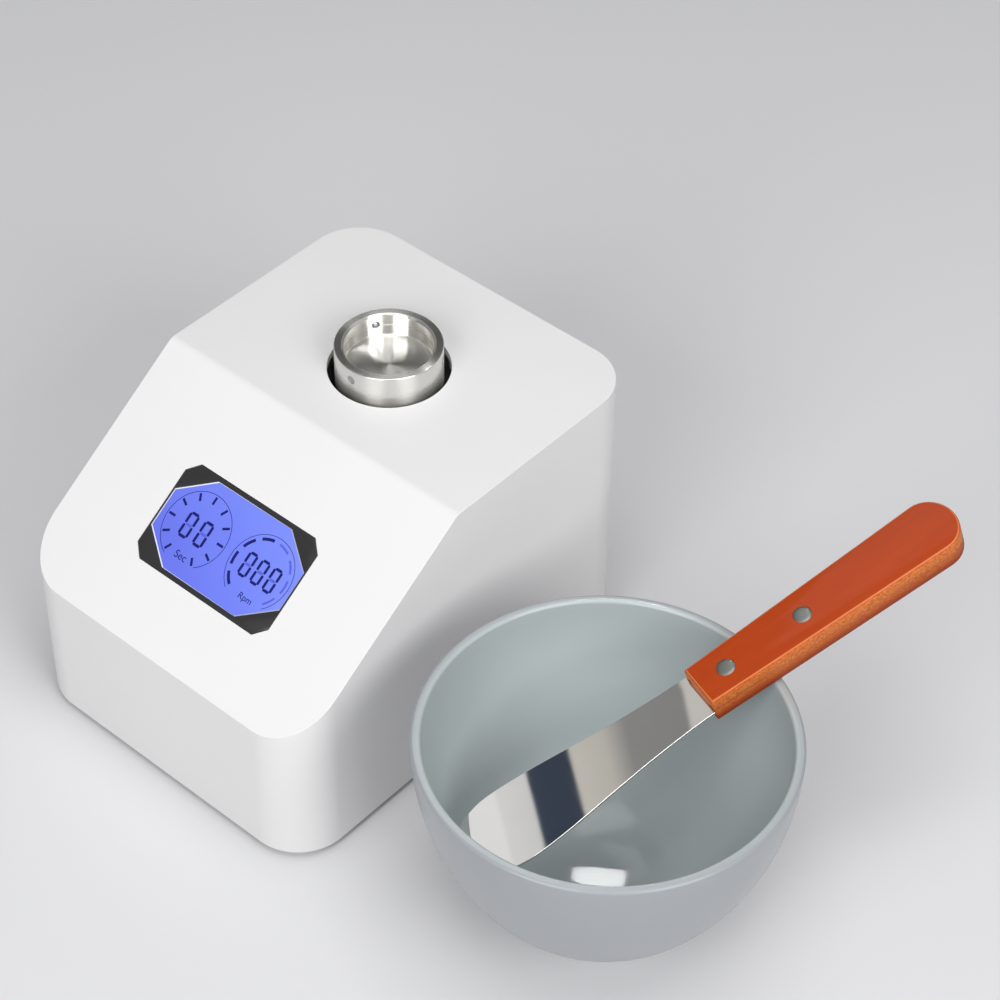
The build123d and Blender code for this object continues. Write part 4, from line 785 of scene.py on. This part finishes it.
crystal("crystal_dark", (0.006, 0.008, 0.05), (0.008, 0.012, 0.17)).coat(lcd_marks)
crystal("crystal_faint", (0.03, 0.036, 0.15), (0.12, 0.15, 0.8)).coat(lcd_ghosts)

# ---------------------------------------------------------------- bowl
# A flexible mixing bowl, moulded in grey-green rubber with a thick wall and a rounded
# rim. A brass insert in its base takes the screw of the aluminium stub below it.
bowl_low, bowl_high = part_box("bowl")
bowl_at = Vector(((bowl_low.x + bowl_high.x) / 2, (bowl_low.y + bowl_high.y) / 2, 0))
bowl_rim = bowl_high.z / mm
bowl_outside = (bowl_high.x - bowl_low.x) / 2 / mm
bowl_inside = bowl_outside - 3.6
bowl_base = bowl_low.z / mm
bowl_floor = bowl_base + 7.0
outer_low_arc, inner_low_arc = 47.0, 44.5
rim_round = 1.1
foot = 8.0
boss = 18.0
insert_radius, insert_depth = 4.5, 4.5


def bowl_arcs(floor, radius, low_arc):
    """Centres and radius of the two arcs of a bowl's curve, and the angle where they meet."""
    width = radius - foot
    height = bowl_rim - floor
    high_arc = (width ** 2 + height ** 2 - 2 * height * low_arc) / (2 * (width - low_arc))
    low_centre = (foot, floor + low_arc)
    high_centre = (radius - high_arc, bowl_rim)
    meeting = math.degrees(math.atan2(low_centre[1] - high_centre[1], low_centre[0] - high_centre[0]))
    return low_centre, high_centre, high_arc, meeting


outer_low, outer_high, outer_arc, outer_meeting = bowl_arcs(bowl_base, bowl_outside, outer_low_arc)
inner_low, inner_high, inner_arc, inner_meeting = bowl_arcs(bowl_floor, bowl_inside, inner_low_arc)
boss_meeting = math.degrees(math.asin((boss - foot) / outer_low_arc)) - 90
outer_end = -math.degrees(math.asin(rim_round / outer_arc))
inner_start = -math.degrees(math.asin(rim_round / inner_arc))
bowl_profile = [
    (0, bowl_base + insert_depth), (insert_radius, bowl_base + insert_depth), (insert_radius, bowl_base),
    (boss - 0.4, bowl_base), (boss, bowl_base + 0.4),
    *arc(outer_low, outer_low_arc, boss_meeting, outer_meeting, 10),
    *arc(outer_high, outer_arc, outer_meeting, outer_end, 16)[1:],
    *arc((bowl_outside - rim_round, bowl_rim - rim_round), rim_round, 0, 90, 6)[1:],
    *arc((bowl_inside + rim_round, bowl_rim - rim_round), rim_round, 90, 180, 6),
    *arc(inner_high, inner_arc, inner_start, inner_meeting, 16)[1:],
    *arc(inner_low, inner_low_arc, inner_meeting, -90, 16)[1:],
    (0, bowl_floor)]
bowl_piece = turned(bowl_profile, bowl_at, 144)
smooth(bowl_piece, 40)
seat(bowl_piece, "bowl_moulded", "mixing_bowl", "bowl_rubber", "bowl")
bowl_rubber = Finish("bowl_rubber", Coat_Weight=0.5, Coat_Roughness=0.12)
bowl_points = bowl_rubber.place(bowl_at)
bloom = bowl_rubber.noise(bowl_points, 22, 3)
skin = bowl_rubber.noise(bowl_points, 1300, 2)
# painted shade: the outside is painted a little darker and greyer than the inside
bowl_x, bowl_y = bowl_rubber.split(bowl_points)[:2]
wall_x, wall_y = bowl_rubber.split(bowl_rubber.add("ShaderNodeTexCoord", out="Normal"))[:2]
outside = (bowl_x * wall_x + bowl_y * wall_y).within(-0.01, 0.02)
bowl_rubber.set(
    Base_Color=bowl_rubber.blend(
        outside, bowl_rubber.blend(bloom, (0.415, 0.465, 0.47), (0.445, 0.495, 0.50)),
        bowl_rubber.blend(bloom, (0.315, 0.335, 0.36), (0.335, 0.355, 0.38))),
    Roughness=0.36 + 0.1 * skin)
bowl_rubber.relief(skin, 0.00001, 0.3)
bowl_rubber.coat(bowl_piece)
dress(turned_metal("stub_metal", bowl_at, (0.76, 0.76, 0.77), 0.22, 0.5), "bowl_stub")
dress(turned_metal("insert_brass", bowl_at, (0.72, 0.56, 0.26), 0.3, 0.3), "bowl_insert")

# ---------------------------------------------------------------- spatula handle
# Two scales of red-brown lacquered hardwood on either side of the blade's tang, their
# edges rounded over, held by two steel rivets.
handle_turn = math.radians(71.4)
handle_rise = math.radians(18.6)
handle_shift = 1.3 * mm
start_reach = 35.71 * mm
start_level = 93.02 * mm
handle_start = bowl_at + Vector((
    start_reach * math.cos(handle_turn) - handle_shift * math.sin(handle_turn),
    start_reach * math.sin(handle_turn) + handle_shift * math.cos(handle_turn), start_level))
handle_place = (
    Matrix.Translation(handle_start)
    @ Matrix.Rotation(handle_turn, 4, "Z")
    @ Matrix.Rotation(-handle_rise, 4, "Y"))
handle_length, near_width, far_width, end_length = 106.0, 17.4, 22.6, 10.0
scale_thickness = 5.6
blade_thickness = 1.0
tang_reach, tang_half, tang_play = 62.0, 5.5, 0.15
pocket_start = -2.15
rivet_radius = 3.3
rivet_places = (11.5, 43.0)
handle_outline = [
    (0, -near_width / 2), (0, near_width / 2), (handle_length - end_length, far_width / 2),
    *[(handle_length - end_length + end_length * math.sin(math.radians(turn)),
       far_width / 2 * math.cos(math.radians(turn))) for turn in range(10, 180, 10)],
    (handle_length - end_length, -far_width / 2)]


def plate(outline, bottom, top):
    """A flat outline in millimetres, filled and drawn up from one height to another."""
    piece = chain([(x, y, bottom) for x, y in outline])
    bpy.ops.mesh.select_all(action="SELECT")
    bpy.ops.mesh.edge_face_add()
    bpy.ops.mesh.extrude_region_move(TRANSFORM_OT_translate={"value": (0, 0, (top - bottom) * mm)})
    return close(piece)


def rivet_holes(piece):
    """Drills a scale or the blade for both rivets."""
    for place in rivet_places:
        bore(piece, (place * mm, 0, 0), (rivet_radius + 0.02) * mm, 30 * mm)


handle_scales = []
for name, top, outer in (("upper_scale", 0.0, 1), ("lower_scale", -scale_thickness, -1)):
    wood = plate(handle_outline, top - scale_thickness, top)
    edit(wood)
    outer_level = (top if outer > 0 else top - scale_thickness) * mm
    pick(wood, edges=lambda edge: all(abs(v.co.z - outer_level) < 0.00001 for v in edge.verts))
    bpy.ops.mesh.bevel(offset=1.1 * mm, segments=5, affect="EDGES", clamp_overlap=True)
    pick(wood, edges=lambda edge: edge.is_manifold and edge.calc_face_angle() > math.radians(50))
    bpy.ops.mesh.bevel(offset=0.35 * mm, segments=2, affect="EDGES", clamp_overlap=True)
    close(wood)
    pocket_end = tang_reach + tang_play
    cut(wood, block(
        ((pocket_end - pocket_start) * mm, 2 * (tang_half + tang_play) * mm, blade_thickness * mm),
        ((pocket_start + pocket_end) / 2 * mm, 0, -scale_thickness * mm)))
    rivet_holes(wood)
    smooth(wood, 40)
    wood.matrix_world = handle_place
    seat(wood, name + "_wood", "spatula", "handle_wood", name)
    handle_scales.append(wood)

lacquer = Finish("lacquered_wood", Coat_Weight=0.15, Coat_Roughness=0.08, Specular_IOR_Level=0.12)
wood_place = (handle_start, handle_place.to_euler())
fibre = lacquer.noise(lacquer.place(*wood_place, (7, 1, 1)), 900, 4, 0.6)
figure = lacquer.noise(lacquer.place(*wood_place, (7, 1, 1)), 130, 3)
pores = lacquer.noise(lacquer.place(*wood_place, (1.5, 1, 1)), 1500, 3, 0.6)
# the rounded sides show lighter, more open grain; painted shade darkens them towards the bottom, and a
# painted highlight lines the top edge
handle_up = handle_place.to_3x3() @ Vector((0, 0, 1))
upright = abs(lacquer.add(
    "ShaderNodeVectorMath", {"operation": "DOT_PRODUCT"},
    {0: lacquer.add("ShaderNodeTexCoord", out="Normal"), 1: handle_up}, out="Value"))
side = 1 - upright.within(0.25, 0.97)
# painted highlight: a lighter orange line along the rounded top edge
painted_edge_highlight = upright.within(0.7, 0.86) * (1 - upright.within(0.9, 0.99))
wood_level = lacquer.split(lacquer.place(*wood_place))[2]
base_wood = lacquer.blend(figure * 0.55 + fibre * 0.45, (0.34, 0.036, 0.003), (0.47, 0.058, 0.006))
# painted shade: the sides go to dark brown towards the bottom of the handle
side_wood_and_shade = lacquer.blend(
    wood_level.within(-0.0095, -0.0035), (0.24, 0.03, 0.004),
    lacquer.blend(pores.within(0.3, 0.7), (0.44, 0.075, 0.012), (0.8, 0.27, 0.06)))
lacquer.set(
    Base_Color=lacquer.blend(
        painted_edge_highlight * 0.6, lacquer.blend(side * 0.9, base_wood, side_wood_and_shade), (0.85, 0.33, 0.12)),
    Roughness=0.35 + 0.15 * fibre + 0.1 * side)
lacquer.relief(fibre * 0.6 + pores * side, 0.00003, 0.3)
lacquer.coat(*handle_scales)

# ---------------------------------------------------------------- spatula rivets
# Two solid steel rivets go through both scales and the tang. Their ends are ground flush
# with the wood and left slightly domed.
rivet_profile = [(0, -11.15), (rivet_radius - 0.5, -11.2), (rivet_radius, -11.0), (rivet_radius, -0.2),
                 (rivet_radius - 0.35, 0.02), (rivet_radius * 0.6, 0.14), (0, 0.2)]
rivets = []
for place in rivet_places:
    rivet = turned(rivet_profile, (place * mm, 0, 0), 48)
    smooth(rivet, 30)
    rivets.append(rivet)
select_only(*rivets)
bpy.ops.object.join()
rivets = bpy.context.object
rivets.matrix_world = handle_place @ rivets.matrix_world
seat(rivets, "handle_rivets_domed", "spatula", "rivet_steel", "handle_rivets")
ground_steel("rivet_steel", (0.27, 0.28, 0.265), 0.34, 1100).coat(rivets)

# ---------------------------------------------------------------- spatula blade
# One plate of mirror-polished stainless steel, 1 mm thick, widening to a round tip. Its
# tang runs between the scales, and its edges are eased so that they catch the light.
tip_at, tip_length, tip_width = 77.0, 21.0, 15.0
# each knot of the edge has a reach and a half width in millimetres, and a slope
edge_knots = [(0.15, 9.1, 0.0), (16.0, 9.6, 0.0589), (46.5, 12.45, 0.1181), (tip_at, tip_width, 0.0)]
blade_side = []
for (reach, width, lean), (next_reach, next_width, next_lean) in zip(edge_knots, edge_knots[1:]):
    span = next_reach - reach
    for step in range(12):
        t = step / 12
        blade_side.append((-(reach + span * t), (
            width * (1 + 2 * t) * (1 - t) ** 2 + next_width * t * t * (3 - 2 * t)
            + span * (lean * t * (1 - t) ** 2 - next_lean * t * t * (1 - t)))))
blade_outline = [
    *blade_side,
    *[(-tip_at - tip_length * math.sin(turn), tip_width * math.cos(turn))
      for turn in [math.radians(5 * step) for step in range(37)]],
    *[(x, -y) for x, y in reversed(blade_side)],
    (-0.15, -tang_half), (tang_reach, -tang_half), (tang_reach, tang_half), (-0.15, tang_half)]
blade = plate(blade_outline, -scale_thickness - blade_thickness / 2, -scale_thickness + blade_thickness / 2)
rivet_holes(blade)
ease(blade, 0.00016, 3, 50)
smooth(blade, 40)
modify(blade, "WEIGHTED_NORMAL", keep_sharp=True, weight=100)
blade.matrix_world = handle_place
seat(blade, "spatula_blade_polished", "spatula", "blade_steel", "spatula_blade")
blade_steel = Finish("blade_steel", Metallic=1.0)
blade_grain = blade_steel.noise(blade_steel.place(*wood_place, (1, 12, 1)), 500, 2)
blade_cloud = blade_steel.noise(blade_steel.place(*wood_place), 60, 2)
blade_steel.set(
    Base_Color=blade_steel.blend(blade_cloud, (0.76, 0.755, 0.74), (0.83, 0.82, 0.805)),
    Roughness=0.015 + 0.02 * blade_grain)
blade_steel.relief(blade_cloud, 0.00002, 0.1)
blade_steel.coat(blade)

# ---------------------------------------------------------------- base and feet
# A pressed steel base plate closes the housing from below. Four screws hold it to the
# housing's corner bosses, and it stands on four rubber feet.
dress(brushed_metal("base_steel", (0.5, 0.51, 0.53), 0.35, 0), "base_plate")
dress(moulded("foot_rubber", (0.02, 0.02, 0.021), 0.6, 900, 0.00003), "rubber_feet")

# ---------------------------------------------------------------- mains inlet and switch
# The three-pole inlet and the rocker switch snap into the back wall. Both are black
# plastic, the inlet with three plated pins.
dress(moulded("inlet_black", (0.025, 0.025, 0.026), 0.4, 1100, 0.00003), "mains_inlet", "switch_body")
dress(brushed_metal("pin_brass", (0.7, 0.66, 0.5), 0.2, 1), "inlet_pins")
dress(moulded("rocker_black", (0.02, 0.02, 0.021), 0.18, 1600, 0.000006), "switch_rocker")

# ---------------------------------------------------------------- side controls
# Two fluted knobs turn the potentiometers for speed and time, and a spring button in
# a black bezel starts the motor.
dress(moulded("knob_grey", (0.05, 0.05, 0.053), 0.42, 900, 0.00003), "speed_knob", "time_knob")
dress(ground_steel("pot_metal", (0.55, 0.53, 0.46), 0.3), "control_pots")
dress(component_black, "start_switch")
dress(moulded("button_green", (0.02, 0.3, 0.08), 0.22, 1600, 0.000006), "start_button")

# ---------------------------------------------------------------- studio
# A pale floor under plain soft light: two large softboxes beside the camera, a weak one
# overhead, and an even surround. Cards that only mirrors see put the bands on the blade
# and on the chuck. None of it is part of the object.
select_only()
bpy.ops.mesh.primitive_plane_add(size=12, location=(0, 0, 0))
floor = bpy.context.object
floor.name = "floor"
floor_paint = Finish("floor_paint", Roughness=0.9, Specular_IOR_Level=0.1)
floor_seen = sum(
    floor_paint.add("ShaderNodeLightPath", out=ray)
    for ray in ("Is Camera Ray", "Is Glossy Ray", "Is Transmission Ray"))
floor_paint.set(Base_Color=floor_paint.blend(floor_seen, (0.55, 0.55, 0.555), (0.72, 0.72, 0.73)))
floor_paint.coat(floor)


def soft_light(name, at, aim, size, power):
    """A rectangular lamp at one point, turned towards another."""
    bpy.ops.object.light_add(type="AREA", location=at)
    lamp = bpy.context.object
    lamp.name = name
    lamp.data.shape = "RECTANGLE"
    lamp.data.size, lamp.data.size_y = size
    lamp.data.energy = power
    lamp.rotation_euler = (Vector(aim) - Vector(at)).to_track_quat("-Z", "Y").to_euler()
    return lamp


def towards(turn, rise):
    """The direction at these angles, in degrees, round from the right and up from the floor."""
    turn, rise = math.radians(turn), math.radians(rise)
    return Vector((math.cos(turn) * math.cos(rise), math.sin(turn) * math.cos(rise), math.sin(rise)))


set_middle = Vector((0, -0.03, 0.06))
for name, turn in (("key_left", -78), ("key_right", -12)):
    soft_light(name, set_middle + 1.9 * towards(turn, 33), set_middle, (1.0, 1.0), 17)
soft_light("top_light", (0.25, -0.1, 1.6), (0, 0, 0.05), (1.0, 1.0), 8)


def card(name, middle, across, along, size, stops):
    """A card that only mirrors see, with bands of grey across its width."""
    select_only()
    bpy.ops.mesh.primitive_plane_add(size=1)
    piece = bpy.context.object
    piece.name = name
    across, along = Vector(across).normalized(), Vector(along).normalized()
    turn = Matrix((across, along, across.cross(along))).transposed().to_4x4()
    piece.matrix_world = Matrix.Translation(middle) @ turn @ Matrix.Diagonal((*size, 1, 1))
    piece.visible_camera = piece.visible_diffuse = piece.visible_shadow = piece.visible_transmission = False
    paint = Finish(name, Base_Color=(0, 0, 0), Specular_IOR_Level=0, Emission_Strength=1)
    place = paint.split(paint.add("ShaderNodeTexCoord", out="Object"))[0] + 0.5
    paint.set(Emission_Color=paint.add("ShaderNodeValToRGB", {"stops": stops}, {"Fac": place}))
    paint.coat(piece)


# The polished blade mirrors a row of pale and dark bands. Each stop has its place across
# the card in millimetres, its grey, and how much its blue exceeds that.
band_across, band_along = Vector((0.5831, 0.7025, 0.4079)), Vector((0.5749, -0.7117, 0.4038))
band_middle = Vector((-0.2638, -0.0487, 0.5613)) + 0.02 * band_across - 0.025 * band_along
band_start, band_width = -105, 250
bands = [
    (band_start, 0.86, 0), (-36, 0.86, 0), (-34, 0.76, 0), (-16.5, 0.7, 0), (-15, 0.062, 0.03),
    (9, 0.06, 0.028), (10.6, 0.6, -0.05), (30, 0.52, -0.04), (43, 0.28, 0), (77, 0.26, 0),
    (79, 0.6, -0.03), (91, 0.6, -0.03), (94, 0.16, 0)]
card("blade_bands", band_middle, band_across, band_along, (band_width * mm, 0.24), [
    ((place - band_start) / band_width, (grey - blue / 2, grey, grey + blue))
    for place, grey, blue in bands])

# the turned chuck mirrors pale cards at both sides and above, and a dark one behind it
for name, turn, rise, size, grey in (
        ("chuck_left", -109, 41, (0.18, 0.3), 0.6), ("chuck_right", 34, 41, (0.46, 0.3), 0.6),
        ("chuck_behind", 134, 40, (0.42, 0.27), 0.08), ("chuck_above", 134, 66, (0.22, 0.2), 2.2)):
    way = towards(turn, rise)
    aside = Vector((-way.y, way.x, 0)).normalized()
    card(name, chuck_rim + 0.6 * way, aside, way.cross(aside), size, [(0, (grey,) * 3), (1, (grey,) * 3)])

# a small lamp far behind leaves a streak on the bowl's bottom
bowl_bottom = Vector((0.0875, -0.032, 0.016))
streak = soft_light("streak", bowl_bottom + 0.6 * towards(126.5, 51.3), bowl_bottom, (0.03, 0.004), 0.11)
streak.visible_diffuse = False
world = bpy.data.worlds.new("studio")
scene.world = world
world.use_nodes = True
surround = world.node_tree.nodes["Background"].inputs
surround["Color"].default_value = (0.9, 0.9, 0.92, 1)
surround["Strength"].default_value = 0.3
scene.view_settings.view_transform = "Standard"
